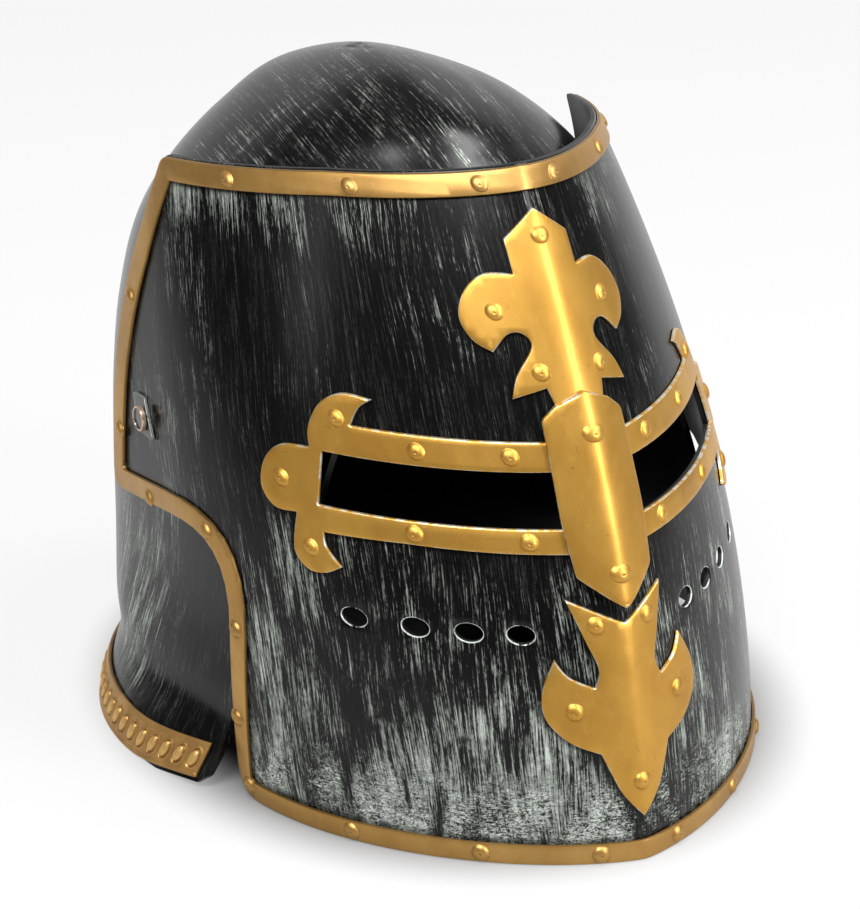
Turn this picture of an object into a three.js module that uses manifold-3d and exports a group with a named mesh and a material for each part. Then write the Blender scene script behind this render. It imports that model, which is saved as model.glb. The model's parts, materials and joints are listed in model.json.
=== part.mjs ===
// Knight's great helm with a wrap-round visor that turns on two side pivots.
// Millimetres, +Z up, the face looks along -Y, the wearer's right is -X.
//
// Two surfaces shape everything. The skull is a stack of egg-shaped sections. The visor is a
// wrapped sheet: a point on it is given by u, how far round it lies from the front ridge, and z,
// its height. Plates on the visor are flat outlines in (u, z) that are bent onto that sheet.

import * as THREE from 'three';
import { mergeVertices } from 'three/addons/utils/BufferGeometryUtils.js';
import Module from 'manifold-3d';

const wasm = await Module();
wasm.setup();

// ---- Driving dimensions ----

const GAP = 0.4;                 // air between pieces that touch
const SHELL = 2;                 // wall of the skull and of the visor
const PLATE = 1.2;               // gold trim sheet
const TRIM_IN = GAP;             // the trim's back face, above the visor's face
const TRIM_OUT = TRIM_IN + PLATE;
const NOSE_IN = TRIM_OUT + GAP;  // the nose plate lies over the other trims
const NOSE_OUT = NOSE_IN + PLATE;
const NOSE_CREST = 2;            // how much further its ridge stands out

const BORDER_WIDTH = 8;          // gold band round the visor's edge
const TRIM_SETBACK = 0.4;        // the trims stop just short of the shells' edges
const RIVET_R = 3.4;
const RIVET_H = 1.2;

const PIVOT_Y = 195;           // the visor's turning axis, along X
const PIVOT_Z = 124.5;
const PIN_R = 2.5;
const PIN_HOLE_R = 2.8;
const PIN_HEAD_R = 5;
const PIN_HEAD_H = 1.8;
const WASHER_R = 6;

// An eye slot's corners, round from the ridge and up, from its inner lower one.
const EYE_SLOT = [[13, 120], [92, 121], [88, 139.3], [13, 138.8]];
const SHELL_BACKSET = 1;         // the shell's slots are this much larger than the frames'

const VENTS = [33.6, 49.5, 66, 85.8];   // breathing holes, measured round from the ridge
const VENT_Z = 84;
const VENT_WIDTH = 8.6;
const VENT_HEIGHT = 6.4;

const BAND_HEIGHT = 14;          // gold band on the neck guard
const RIM_LIFT = 4;              // how much higher the guard's rim is at its front corners
const RIM_LIFT_START = 172;
const GUARD_FRONT = 124.5;       // where the guard ends, just behind the visor
const BAND_FRONT = 128;
const BROW_Z = 188;              // the skull's brow edge, hidden behind the visor

// ---- Materials ----

const metal = (color, roughness, metalness) =>
  new THREE.MeshStandardMaterial({ color, roughness, metalness });
const BLACKENED = metal(0x2a2d2c, 0.35, 0.3);
const GOLD = metal(0xb98a34, 0.45, 0.75);
const PEWTER = metal(0x8c8b84, 0.4, 0.8);
const FOAM = metal(0x1d1e20, 0.95, 0);

// ---- Solids ----

function clean(geometry) {
  const bare = geometry.clone();
  for (const name of ['normal', 'uv']) bare.deleteAttribute(name);
  const merged = mergeVertices(bare, 1e-4);
  const index = merged.index.array;
  const kept = [];
  for (let i = 0; i < index.length; i += 3) {
    const [a, b, c] = index.slice(i, i + 3);
    if (a !== b && b !== c && c !== a) kept.push(a, b, c);
  }
  merged.setIndex(kept);
  return merged;
}

function toSolid(geometry) {
  const g = clean(geometry);
  return new wasm.Manifold(new wasm.Mesh({
    numProp: 3,
    vertProperties: new Float32Array(g.attributes.position.array),
    triVerts: new Uint32Array(g.index.array),
  }));
}

function toGeometry(solid) {
  const mesh = solid.getMesh();
  const g = new THREE.BufferGeometry();
  g.setAttribute('position', new THREE.BufferAttribute(mesh.vertProperties, 3));
  g.setIndex(new THREE.BufferAttribute(mesh.triVerts, 1));
  return g;
}

function moved(geometry, place) {
  const g = geometry.clone();
  const p = g.attributes.position;
  const v = new THREE.Vector3();
  for (let i = 0; i < p.count; i += 1) {
    v.fromBufferAttribute(p, i);
    const q = place(v.x, v.y, v.z);
    p.setXYZ(i, q.x, q.y, q.z);
  }
  return g;
}

// ---- The visor's sheet ----

const WRAP_R = 106;              // u divided by this is the angle round from the ridge
const RIDGE_SOFTNESS = 0.04;
const REAR_TAPER = 0.1;

// Each section is half an ellipse with a softened keel, and these sizes change with height.
const poly = (...c) => (z) => c.reduceRight((sum, k) => sum * (z / 100) + k, 0);
const ridgeY = poly(1.6, 7.3, 15.6, -0.6);
const halfWidth = poly(107, 11, -8.5);
const cheekLength = poly(125.4, 25, -7.4);
const keel = poly(11.7, 1);

function sheetPoint(u, z) {
  const side = Math.sign(u);
  const angle = Math.abs(u) / WRAP_R;
  const past = Math.max(0, angle - Math.PI / 2);
  const front = angle - past;
  const bump = Math.hypot(Math.sin(2 * front), RIDGE_SOFTNESS) - RIDGE_SOFTNESS;
  const sweep = 1 - Math.cos(front) + Math.sin(past);
  return new THREE.Vector3(
    side * halfWidth(z) * (Math.sin(front) - REAR_TAPER * (1 - Math.cos(past))),
    ridgeY(z) + cheekLength(z) * sweep + keel(z) * bump,
    z,
  );
}

// A point a distance t outside the sheet, measured level.
function onVisor(u, z, t) {
  const step = 0.05;
  const along = sheetPoint(u + step, z).sub(sheetPoint(u - step, z));
  const out = new THREE.Vector3(along.y, -along.x, 0).normalize();
  return sheetPoint(u, z).addScaledVector(out, t);
}

// ---- Bending flat outlines onto the sheet ----

const RIDGE_CELL = 2;            // grid lines close to the ridge, then evenly spaced
const CELL_U = 10.9;
const CELLS_U = 42;
const CELL_Z = 20.5;
const CELLS_Z = 12;
const GRID_LOW = -4;
const BOW = 0.001;               // a slight dish keeps the grid lines when the outline is cut

const gridU = (i) => Math.sign(i) * (RIDGE_CELL + CELL_U * (Math.abs(i) - 1)) * (i === 0 ? 0 : 1);
const dish = (u, z) => BOW * (u * u + z * z);

const griddedSheet = toSolid(moved(
  new THREE.BoxGeometry(CELLS_U, CELLS_Z, 1, CELLS_U, CELLS_Z, 1),
  (x, y, d) => {
    const u = gridU(Math.round(x));
    const z = GRID_LOW + CELL_Z * (y + CELLS_Z / 2);
    return new THREE.Vector3(u, z, d + 0.5 + dish(u, z));
  },
));

function bentPlate(outline, inner, outer) {
  const punch = new THREE.ExtrudeGeometry(outline, { depth: 300, bevelEnabled: false });
  punch.translate(0, 0, -10);
  const flat = toGeometry(griddedSheet.intersect(toSolid(punch)));
  const height = (face, u) => (face === 0 ? inner : (typeof outer === 'function' ? outer(u) : outer));
  return moved(flat, (u, z, d) => onVisor(u, z, height(Math.round(d - dish(u, z)), u)));
}

// ---- Outlines ----

const point = ([x, y]) => new THREE.Vector2(x, y);

// Leaves out each point that lies on the straight line between its neighbours.
function corneredOnly(points) {
  return points.filter((p, i) => {
    const before = points.at(i - 1);
    const after = points[(i + 1) % points.length];
    return Math.abs(p.clone().sub(before).cross(after.clone().sub(p))) > 1e-6;
  });
}

// A closed shape from one half: the given half path, then its mirror image about u = 0.
function mirroredShape(path, divisions = 4) {
  const half = path.getPoints(divisions);
  const other = half.filter((p) => p.x > 1e-6).reverse().map((p) => new THREE.Vector2(-p.x, p.y));
  return new THREE.Shape(corneredOnly([...half, ...other]));
}

// Rounds the corners [u, z, radius] of an open run of points.
function roundedPath(corners, closed = false) {
  const path = new THREE.Path();
  const last = corners.length - 1;
  corners.forEach((corner, i) => {
    const p = point(corner);
    const r = corner[2] ?? 0;
    const ends = !closed && (i === 0 || i === last);
    const before = point(corners[(i + last) % corners.length]);
    const after = point(corners[(i + 1) % corners.length]);
    if (ends || r === 0) {
      if (i === 0) path.moveTo(p.x, p.y);
      else path.lineTo(p.x, p.y);
      return;
    }
    const to = (q) => q.clone().sub(p).normalize();
    const half = Math.acos(THREE.MathUtils.clamp(to(before).dot(to(after)), -1, 1)) / 2;
    const reach = r / Math.tan(half);
    const from = p.clone().addScaledVector(to(before), reach);
    const onto = p.clone().addScaledVector(to(after), reach);
    if (i === 0) path.moveTo(from.x, from.y);
    else path.lineTo(from.x, from.y);
    path.quadraticCurveTo(p.x, p.y, onto.x, onto.y);
  });
  return path;
}

// Moves each edge of an open run of corners inward, to its left, and keeps the roundings parallel.
function inset(corners, distance) {
  const edge = (i) => {
    const a = point(corners[i]);
    const along = point(corners[i + 1]).sub(a).normalize();
    return { at: a.add(new THREE.Vector2(-along.y, along.x).multiplyScalar(distance)), along };
  };
  return corners.map(([u, z, r], i) => {
    if (i === 0) return [u, z + distance];
    if (i === corners.length - 1) return [u, z - distance];
    const [e, f] = [edge(i - 1), edge(i)];
    const turn = e.along.cross(f.along);
    const s = f.at.clone().sub(e.at).cross(f.along) / turn;
    const p = e.at.clone().addScaledVector(e.along, s);
    return [p.x, p.y, Math.max(1.5, r - Math.sign(turn) * distance)];
  });
}

// The visor's right edge, from the bottom of the ridge round to its top. The concave corner is
// the cut-away over the neck guard.
const VISOR_EDGE = [
  [0, 0], [156, 0, 10], [130, 103, 24], [218, 85, 5], [187, 165, 400], [150, 221.5, 8],
  [74, 230.5, 90], [0, 236],
];

function slotShape(margin) {
  const grow = [[-1, -1], [1, -1], [1, 1], [-1, 1]];
  return roundedPath(EYE_SLOT.map(([u, z], i) => [u + margin * grow[i][0], z + margin * grow[i][1]]), true);
}

// The same points for the wearer's left (1), or mirrored for the right (-1), turning the same way.
function onSide(points, side) {
  if (side > 0) return points;
  return points.map((p) => new THREE.Vector2(-p.x, p.y)).reverse();
}

function visorShape() {
  const shape = mirroredShape(roundedPath(VISOR_EDGE));
  const cuts = [slotShape(SHELL_BACKSET)];
  for (const u of VENTS) {
    cuts.push(new THREE.Path().absellipse(u, VENT_Z, VENT_WIDTH / 2, VENT_HEIGHT / 2, 0, Math.PI * 2));
  }
  for (const cut of cuts) {
    for (const side of [1, -1]) shape.holes.push(new THREE.Path(onSide(cut.getPoints(4), side)));
  }
  return shape;
}

// Where the pivot lies on the sheet: the u whose point has the axis's y at the axis's height.
function findPivotU() {
  let low = 150;
  let high = 215;
  for (let i = 0; i < 40; i += 1) {
    const middle = (low + high) / 2;
    if (sheetPoint(middle, PIVOT_Z).y < PIVOT_Y) low = middle;
    else high = middle;
  }
  return low;
}
const PIVOT_U = findPivotU();
const PIVOT_X = sheetPoint(PIVOT_U, PIVOT_Z).x;

function borderShape() {
  const shape = mirroredShape(roundedPath(inset(VISOR_EDGE, TRIM_SETBACK)));
  shape.holes.push(mirroredShape(roundedPath(inset(VISOR_EDGE, BORDER_WIDTH))));
  return shape;
}

function eyeFrameShape(side) {
  const path = new THREE.Path();
  const curve = (...points) => path.splineThru(points.map(point));
  path.moveTo(EYE_SLOT[0][0] - 3, 111.5);
  path.lineTo(65, 112.8);
  path.lineTo(91.3, 112);
  curve([91.2, 107], [86.9, 101]);
  curve([92.9, 98], [99, 98.2], [103, 104], [100.3, 116.8]);
  curve([108.5, 116.8], [112.8, 123], [110.1, 132.3], [103, 138.5], [92.4, 139.8]);
  curve([91.8, 146.8], [86.5, 155.3], [78.4, 159.6], [68.9, 158.8]);
  curve([73.5, 155.5], [77.1, 149.4]);
  path.lineTo(EYE_SLOT[0][0] - 3, 148.4);
  const shape = new THREE.Shape(onSide(path.getPoints(3), side));
  shape.holes.push(new THREE.Path(onSide(slotShape(0).getPoints(2), side)));
  return shape;
}

function upperFleurShape() {
  const path = new THREE.Path();
  const curve = (...points) => path.splineThru(points.map(point));
  path.moveTo(0, 154);
  path.lineTo(8, 154);
  path.lineTo(11.2, 165.8);
  path.lineTo(23.4, 162.5);
  curve([20.4, 169.8], [13.4, 178.8], [15.4, 183.2], [20.5, 183], [26.5, 177.4]);
  curve([32.4, 181], [35.5, 188], [32.4, 196.2], [24.5, 202], [13.8, 202]);
  path.lineTo(14.1, 213);
  path.lineTo(0, 222.4);
  return mirroredShape(path, 2);
}

function nosePlateShape() {
  return mirroredShape(roundedPath([
    [0, 93.5], [13.8, 104.5, 3], [15.6, 122, 60], [15.5, 156, 3], [10, 160.6, 3], [0, 164.8],
  ]), 3);
}

function lowerFleurShape() {
  const path = new THREE.Path();
  const curve = (...points) => path.splineThru(points.map(point));
  path.moveTo(0, 17.2);
  curve([6.7, 26], [10.4, 34.5], [13, 41.8]);
  curve([22.6, 46.5], [29.4, 55], [29.5, 64.8], [24.5, 76]);
  curve([20.6, 69.8], [12.8, 65.6]);
  curve([10.8, 72], [13.8, 82], [18.4, 96.5]);
  path.lineTo(0, 87.2);
  return mirroredShape(path, 2);
}

// ---- Small round pieces on the visor ----

// A rivet's low domed head, standing on the xy plane.
function domeHead(radius, height) {
  const profile = [[0, 0], [radius, 0], [radius * 0.6, height], [0, height]];
  return new THREE.LatheGeometry(profile.map(point), 8).rotateX(Math.PI / 2);
}

function placeOnVisor(geometry, u, z, t) {
  const at = onVisor(u, z, t);
  const step = 0.5;
  const across = onVisor(u + step, z, t).sub(onVisor(u - step, z, t));
  const up = onVisor(u, z + step, t).sub(onVisor(u, z - step, t));
  const out = across.clone().cross(up).normalize();
  const basis = new THREE.Matrix4().makeBasis(
    across.normalize(), out.clone().cross(across), out).setPosition(at);
  return geometry.clone().applyMatrix4(basis);
}

// Border rivets, given round one half and repeated on the other.
const BORDER_RIVETS = [
  [15.5, 4], [54.5, 4], [99, 4], [147, 6], [145, 32], [135.5, 67], [143.5, 98.5], [184, 94.5],
  [201, 112], [179, 166], [114, 221.3], [65, 226.6], [17.5, 230.4],
];

// ---- The skull ----

// Egg-shaped sections: height, half width, centre, reach to the rear, reach to the front, and how
// far the rear corners bulge.
const SECTIONS = [
  { z: -2, wide: 132, centre: 174, rear: 121, front: 118, bulge: 0 },
  { z: BAND_HEIGHT, wide: 126, centre: 176, rear: 120, front: 110, bulge: 0 },
  { z: 25, wide: 118, centre: 186, rear: 114, front: 150, bulge: 0 },
  { z: 38, wide: 114, centre: 196, rear: 111, front: 186, bulge: 0.02 },
  { z: 62, wide: 106.8, centre: 200, rear: 113, front: 190, bulge: 0.07 },
  { z: 90, wide: 103.6, centre: 200, rear: 118, front: 176, bulge: 0.085 },
  { z: 120, wide: 102, centre: 200.5, rear: 122.5, front: 150, bulge: 0.07 },
  { z: 150, wide: 99.8, centre: 201.5, rear: 122, front: 122, bulge: 0.045 },
  { z: 180, wide: 93, centre: 203, rear: 111, front: 104, bulge: 0.04 },
  { z: 206, wide: 80.5, centre: 203.5, rear: 90.5, front: 88, bulge: 0.04 },
  { z: 226, wide: 62, centre: 208, rear: 71.5, front: 72, bulge: 0.01 },
  { z: 240, wide: 38, centre: 209, rear: 56, front: 50, bulge: 0 },
  { z: 250, wide: 0, centre: 217.5, rear: 0, front: 0, bulge: 0 },
];
const CROWN = SECTIONS.length - 1;
// Beyond the crown the sections mirror back, which keeps the top round.
const BEYOND = { z: 240, wide: -38, centre: 226, rear: -56, front: -50, bulge: 0 };
const sectionCurve = (key) => new THREE.SplineCurve(
  [...SECTIONS, BEYOND].map((s, i) => new THREE.Vector2(i, s[key])));
const CURVES = Object.fromEntries(
  ['z', 'wide', 'centre', 'rear', 'front', 'bulge'].map((key) => [key, sectionCurve(key)]));
const sectionAt = (key, row) => CURVES[key].getPoint(row / (CROWN + 1)).y;

const SKULL_COLUMNS = 48;
const SKULL_ROWS = [0, 0.5, 1, 1.5, 2, 3, 4.5, 6, 7, 8, 8.7, 9.4, 10.1, 10.8, 11.4, 12];

function rimLift(y, z) {
  const ahead = THREE.MathUtils.smoothstep(RIM_LIFT_START - y, 0, RIM_LIFT_START - GUARD_FRONT);
  return RIM_LIFT * ahead * Math.max(0, 1 - z / 40);
}

// The angle runs from the back of the head round by the wearer's left.
function skullSurface(row, angle) {
  const behind = Math.cos(angle) > 0;
  const spread = behind ? 1 + sectionAt('bulge', row) * Math.sin(2 * angle) ** 2 : 1;
  const reach = sectionAt(behind ? 'rear' : 'front', row) * spread;
  const z = sectionAt('z', row);
  const y = sectionAt('centre', row) + reach * Math.cos(angle);
  const x = sectionAt('wide', row) * spread * Math.sin(angle);
  return new THREE.Vector3(x, y, z + rimLift(y, z));
}

// A point a distance t outside the skull, measured square to it.
function onSkull(row, angle, t) {
  if (row >= CROWN) {
    return skullSurface(CROWN, 0).add(new THREE.Vector3(0, 0, t));
  }
  const step = 0.01;
  const up = skullSurface(Math.min(CROWN, row + step), angle).sub(skullSurface(row, angle));
  const round = skullSurface(row, angle + step).sub(skullSurface(row, angle - step));
  return skullSurface(row, angle).addScaledVector(up.cross(round).normalize(), t);
}

// A closed wall between two distances from the skull, over some of its rows, all the way round.
function skullWall(rows, inner, outer) {
  const positions = [];
  const index = [];
  const put = (t) => rows.map((row) => {
    const ring = [];
    for (let c = 0; c < SKULL_COLUMNS; c += 1) {
      ring.push(positions.length / 3);
      positions.push(...onSkull(row, (c / SKULL_COLUMNS) * Math.PI * 2, t).toArray());
    }
    return ring;
  });
  const quad = (a, b, c, d) => index.push(a, b, c, a, c, d);
  const join = (low, high) => low.forEach((_, c) => {
    const next = (c + 1) % SKULL_COLUMNS;
    quad(low[c], low[next], high[next], high[c]);
  });
  const outside = put(outer);
  const inside = put(inner);
  for (let r = 1; r < rows.length; r += 1) {
    join(outside[r], outside[r - 1]);
    join(inside[r - 1], inside[r]);
  }
  join(outside[0], inside[0]);
  if (rows.at(-1) < CROWN) join(inside.at(-1), outside.at(-1));
  const g = new THREE.BufferGeometry();
  g.setAttribute('position', new THREE.Float32BufferAttribute(positions, 3));
  g.setIndex(index);
  return g;
}

// A block over the full width whose side view is the given outline of [y, z] corners.
function sideCut(corners) {
  const shape = new THREE.Shape(corners.getPoints(5));
  const g = new THREE.ExtrudeGeometry(shape, { depth: 320, bevelEnabled: false });
  return toSolid(moved(g, (y, z, x) => new THREE.Vector3(x - 160, y, z)));
}

// Drills the pivot holes, right across.
function drilled(geometry) {
  const drill = new THREE.CylinderGeometry(PIN_HOLE_R, PIN_HOLE_R, 320, 24);
  drill.rotateZ(Math.PI / 2).translate(0, PIVOT_Y, PIVOT_Z);
  return toGeometry(toSolid(geometry).subtract(toSolid(drill)));
}

// Everything below a level, which the guard's rim is cut off at.
const ground = (level) => sideCut(roundedPath([[-50, -50], [400, -50], [400, level], [-50, level]]));

function skullShell() {
  const face = sideCut(roundedPath([
    [-20, -20], [GUARD_FRONT, -20], [GUARD_FRONT, 34, 4], [106, 60, 30], [104, 120, 60],
    [112, BROW_Z, 22], [-20, BROW_Z],
  ]));
  const egg = toSolid(skullWall(SKULL_ROWS, -SHELL, 0));
  return drilled(toGeometry(egg.subtract(face).subtract(ground(0))));
}

function neckBand() {
  const band = toSolid(skullWall(SKULL_ROWS.filter((row) => row <= 1), TRIM_IN, TRIM_OUT));
  const front = sideCut(roundedPath([[-20, -20], [BAND_FRONT, -20], [BAND_FRONT, 60], [-20, 60]]));
  return toGeometry(band.subtract(front).subtract(ground(TRIM_SETBACK)));
}

// ---- Pivots ----

const skullHalfWidthAtPivot = (() => {
  let row = 6;
  while (sectionAt('z', row) < PIVOT_Z) row += 0.01;
  return onSkull(row, Math.PI / 2, 0).x;
})();

// A ring on the pivot axis between two distances from the middle, on the side given.
function pivotRing(side, radius, bore, x0, x1) {
  const profile = [[bore, x0], [radius, x0], [radius, x1], [bore, x1], [bore, x0]].map(point);
  const ring = new THREE.LatheGeometry(profile, 16).rotateZ(-Math.PI / 2);
  const placed = ring.translate(0, PIVOT_Y, PIVOT_Z);
  return side > 0 ? placed : mirrorX(placed);
}

function mirrorX(geometry) {
  const g = clean(geometry).scale(-1, 1, 1);
  const index = [...g.index.array];
  for (let i = 0; i < index.length; i += 3) [index[i], index[i + 1]] = [index[i + 1], index[i]];
  g.setIndex(index);
  return g;
}

function pivotPin(side) {
  const face = PIVOT_X + NOSE_IN + 0.6;
  const tail = skullHalfWidthAtPivot - SHELL - 5;
  const profile = [
    [0, tail], [PIN_R, tail], [PIN_R, face], [PIN_HEAD_R, face], [PIN_HEAD_R, face + PIN_HEAD_H * 0.5],
    [PIN_HEAD_R * 0.75, face + PIN_HEAD_H], [0, face + PIN_HEAD_H],
  ].map(point);
  const pin = new THREE.LatheGeometry(profile, 16).rotateZ(-Math.PI / 2);
  const placed = pin.translate(0, PIVOT_Y, PIVOT_Z);
  return side > 0 ? placed : mirrorX(placed);
}

function pivotPlateShape(side) {
  const path = roundedPath([
    [PIVOT_U - 4.5, PIVOT_Z - 6.5, 1], [PIVOT_U + 7, PIVOT_Z - 6.5, 2], [PIVOT_U + 7, PIVOT_Z + 6.5, 2],
    [PIVOT_U - 1.5, PIVOT_Z + 7.5, 1],
  ], true);
  return new THREE.Shape(onSide(path.getPoints(3), side));
}

// ---- Liner pads ----

const PAD_GAP = 1.6;
const PAD_THICK = 9;

// A pad on the inside of the skull, over a patch of rows and angles.
function skullPad(row0, row1, angle0, angle1, thick = PAD_THICK) {
  const pad = new THREE.BoxGeometry(1, 1, 1, 6, 3, 1);
  return moved(pad, (x, y, d) => {
    const edge = (1 - (2 * x) ** 4) * (1 - (2 * y) ** 4);
    const row = THREE.MathUtils.lerp(row0, row1, y + 0.5);
    const angle = THREE.MathUtils.lerp(angle0, angle1, x + 0.5);
    const depth = d < 0 ? 0 : thick * (0.45 + 0.55 * edge);
    return onSkull(row, angle, -SHELL - PAD_GAP - depth);
  });
}

function crownPad() {
  const radius = 45;
  const pad = new THREE.CylinderGeometry(radius, radius, 1, 16).rotateX(Math.PI / 2);
  const crown = skullSurface(CROWN, 0);
  return moved(pad, (x, y, d) => {
    const r = Math.min(1, Math.hypot(x, y) / radius);
    const ceiling = onSkull(CROWN - 2.1 * r, Math.atan2(x, y), -SHELL - PAD_GAP);
    return new THREE.Vector3(ceiling.x, ceiling.y, ceiling.z - (0.5 - d) * PAD_THICK * (1 - 0.4 * r ** 4))
      .setY(THREE.MathUtils.lerp(crown.y, ceiling.y, r > 0 ? 1 : 0));
  });
}

// ---- Assembly ----

const group = new THREE.Group();
const helm = new THREE.Group();
group.add(helm);

function add(name, geometry, material) {
  const mesh = new THREE.Mesh(clean(geometry), material);
  mesh.name = name;
  helm.add(mesh);
}

add('skull_shell', skullShell(), BLACKENED);
add('neck_band', neckBand(), GOLD);
add('visor_shell', drilled(bentPlate(visorShape(), -SHELL, 0)), BLACKENED);

let border = toSolid(bentPlate(borderShape(), TRIM_IN, TRIM_OUT));
for (const [u, z] of BORDER_RIVETS) {
  for (const side of [-1, 1]) {
    const head = placeOnVisor(domeHead(RIVET_R, RIVET_H + 0.3), side * u, z, TRIM_OUT - 0.3);
    border = border.add(toSolid(head));
  }
}
add('visor_border', toGeometry(border), GOLD);

const SIDES = { left: 1, right: -1 };
for (const [word, side] of Object.entries(SIDES)) {
  add(`eye_frame_${word}`, bentPlate(eyeFrameShape(side), TRIM_IN, TRIM_OUT), GOLD);
}
add('upper_fleur_plate', bentPlate(upperFleurShape(), TRIM_IN, TRIM_OUT), GOLD);
add('lower_fleur_plate', bentPlate(lowerFleurShape(), TRIM_IN, TRIM_OUT), GOLD);
const noseFace = (u) => NOSE_OUT + NOSE_CREST * Math.max(0, 1 - Math.abs(u) / 15);
add('nose_plate', bentPlate(nosePlateShape(), NOSE_IN, noseFace), GOLD);

// Rivets that hold the trims, by plate: [u, z] on the right half, repeated on the left.
const FACE_RIVETS = {
  eye_frame: [[81.3, 151.3], [56.7, 144], [27.7, 144], [104, 127.5], [96.5, 106], [61.3, 116.6], [26.4, 116]],
  upper_fleur: [[23.2, 190.4], [12, 171]],
  lower_fleur: [[9.6, 87.5], [20, 57.6]],
};
for (const [plate, spots] of Object.entries(FACE_RIVETS)) {
  spots.forEach(([u, z], i) => {
    for (const [word, side] of Object.entries(SIDES)) {
      const head = placeOnVisor(domeHead(RIVET_R, RIVET_H), side * u, z, TRIM_OUT + GAP);
      add(`${plate}_rivet_${word}_${i + 1}`, head, GOLD);
    }
  });
}
const RIDGE_RIVETS = [
  ['upper_fleur_rivet_top', 213.9, TRIM_OUT], ['lower_fleur_rivet_bottom', 30.6, TRIM_OUT],
  ['nose_rivet_top', 151.7, NOSE_OUT + NOSE_CREST], ['nose_rivet_bottom', 105.3, NOSE_OUT + NOSE_CREST],
];
for (const [name, z, t] of RIDGE_RIVETS) {
  add(name, placeOnVisor(domeHead(RIVET_R, RIVET_H), 0, z, t + GAP), GOLD);
}

for (const [word, side] of Object.entries(SIDES)) {
  add(`pivot_plate_${word}`, drilled(bentPlate(pivotPlateShape(side), TRIM_IN, TRIM_OUT)), GOLD);
  add(`pivot_pin_${word}`, pivotPin(side), PEWTER);
  const wall = skullHalfWidthAtPivot;
  add(`pivot_washer_${word}`, pivotRing(side, WASHER_R, PIN_R + 0.3, wall + 0.8, PIVOT_X - SHELL - 1), FOAM);
  add(`pivot_clip_${word}`, pivotRing(side, WASHER_R, PIN_R + 0.3, wall - SHELL - 3, wall - SHELL - 1.2), PEWTER);
}

add('rear_pad', skullPad(5.2, 7.6, -0.75, 0.75), FOAM);
add('side_pad_left', skullPad(5.9, 8.1, 1.0, 1.42, 8), FOAM);
add('side_pad_right', skullPad(5.9, 8.1, -1.42, -1.0, 8), FOAM);
add('brow_pad', skullPad(8.45, 9.5, Math.PI - 0.7, Math.PI + 0.7, 8), FOAM);
add('crown_pad', crownPad(), FOAM);

// The origin is the middle of the ground under the helm.
const box = new THREE.Box3().setFromObject(helm);
helm.position.set(-(box.min.x + box.max.x) / 2, -(box.min.y + box.max.y) / 2, -box.min.z);

export default group;
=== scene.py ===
import json
import math

import bmesh
import bpy
import numpy as np
from mathutils import Matrix, Vector
from mathutils.geometry import delaunay_2d_cdt


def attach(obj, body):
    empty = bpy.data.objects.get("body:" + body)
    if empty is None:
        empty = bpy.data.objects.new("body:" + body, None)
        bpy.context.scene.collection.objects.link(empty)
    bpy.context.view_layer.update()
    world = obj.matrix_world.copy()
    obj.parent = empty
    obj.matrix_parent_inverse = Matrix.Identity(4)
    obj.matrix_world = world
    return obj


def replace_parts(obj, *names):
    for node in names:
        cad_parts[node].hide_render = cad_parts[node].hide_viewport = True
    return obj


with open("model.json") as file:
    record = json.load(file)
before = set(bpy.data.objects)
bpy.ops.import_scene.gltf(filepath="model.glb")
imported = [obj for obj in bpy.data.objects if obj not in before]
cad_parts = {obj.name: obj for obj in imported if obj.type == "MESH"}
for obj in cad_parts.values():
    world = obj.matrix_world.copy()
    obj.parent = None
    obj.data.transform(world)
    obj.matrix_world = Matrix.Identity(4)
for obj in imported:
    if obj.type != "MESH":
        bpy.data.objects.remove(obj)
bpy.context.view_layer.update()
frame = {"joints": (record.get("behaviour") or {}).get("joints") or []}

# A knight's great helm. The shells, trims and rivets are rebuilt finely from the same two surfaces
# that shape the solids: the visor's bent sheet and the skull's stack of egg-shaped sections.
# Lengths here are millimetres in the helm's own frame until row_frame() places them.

# ---- Dimensions shared with the solids ----

GAP = 0.4
SHELL = 2.0
PLATE = 1.2
TRIM_IN = GAP
TRIM_OUT = TRIM_IN + PLATE
NOSE_IN = TRIM_OUT + GAP
NOSE_OUT = NOSE_IN + PLATE
NOSE_CREST = 2.0
BORDER_WIDTH = 8.0
TRIM_SETBACK = 0.4
RIVET_R = 3.15
RIVET_H = 1.35
PIVOT_Y = 195.0
PIVOT_Z = 124.5
PIN_HOLE_R = 2.8
WRAP_R = 106.0
RIDGE_SOFTNESS = 0.04
REAR_TAPER = 0.1
RIM_LIFT = 4.0
RIM_LIFT_START = 172.0
GUARD_FRONT = 124.5
BAND_FRONT = 128.0
BROW_Z = 188.0

EYE_SLOT = [(13, 120), (92, 121), (88, 139.3), (13, 138.8)]
VENTS = [33.6, 49.5, 66, 85.8]
VENT_Z = 84.0
VENT_HALF = (4.3, 3.2)

# Height, half width, centre, reach to the rear, reach to the front, and how far the rear corners
# bulge. The last row is the crown mirrored back, which keeps the top round.
SECTIONS = np.array([
    (-2, 132, 174, 121, 118, 0), (14, 126, 176, 120, 110, 0), (25, 118, 186, 114, 150, 0),
    (38, 114, 196, 111, 186, 0.02), (62, 106.8, 200, 113, 190, 0.07),
    (90, 103.6, 200, 118, 176, 0.085), (120, 102, 200.5, 122.5, 150, 0.07),
    (150, 99.8, 201.5, 122, 122, 0.045), (180, 93, 203, 111, 104, 0.04),
    (206, 80.5, 203.5, 90.5, 88, 0.04), (226, 62, 208, 71.5, 72, 0.01),
    (240, 38, 209, 56, 50, 0), (250, 0, 217.5, 0, 0, 0), (240, -38, 226, -56, -50, 0),
], float)
CROWN = len(SECTIONS) - 2

pivot_joint = frame["joints"][0]
SHIFT = np.array(pivot_joint["pos_m"]) * 1000 - np.array([0, PIVOT_Y, PIVOT_Z])


def row_frame(points):
    """Millimetres in the helm's frame to metres in the row frame."""
    return (np.asarray(points, float) + SHIFT) / 1000


# ---- The two surfaces ----

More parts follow.
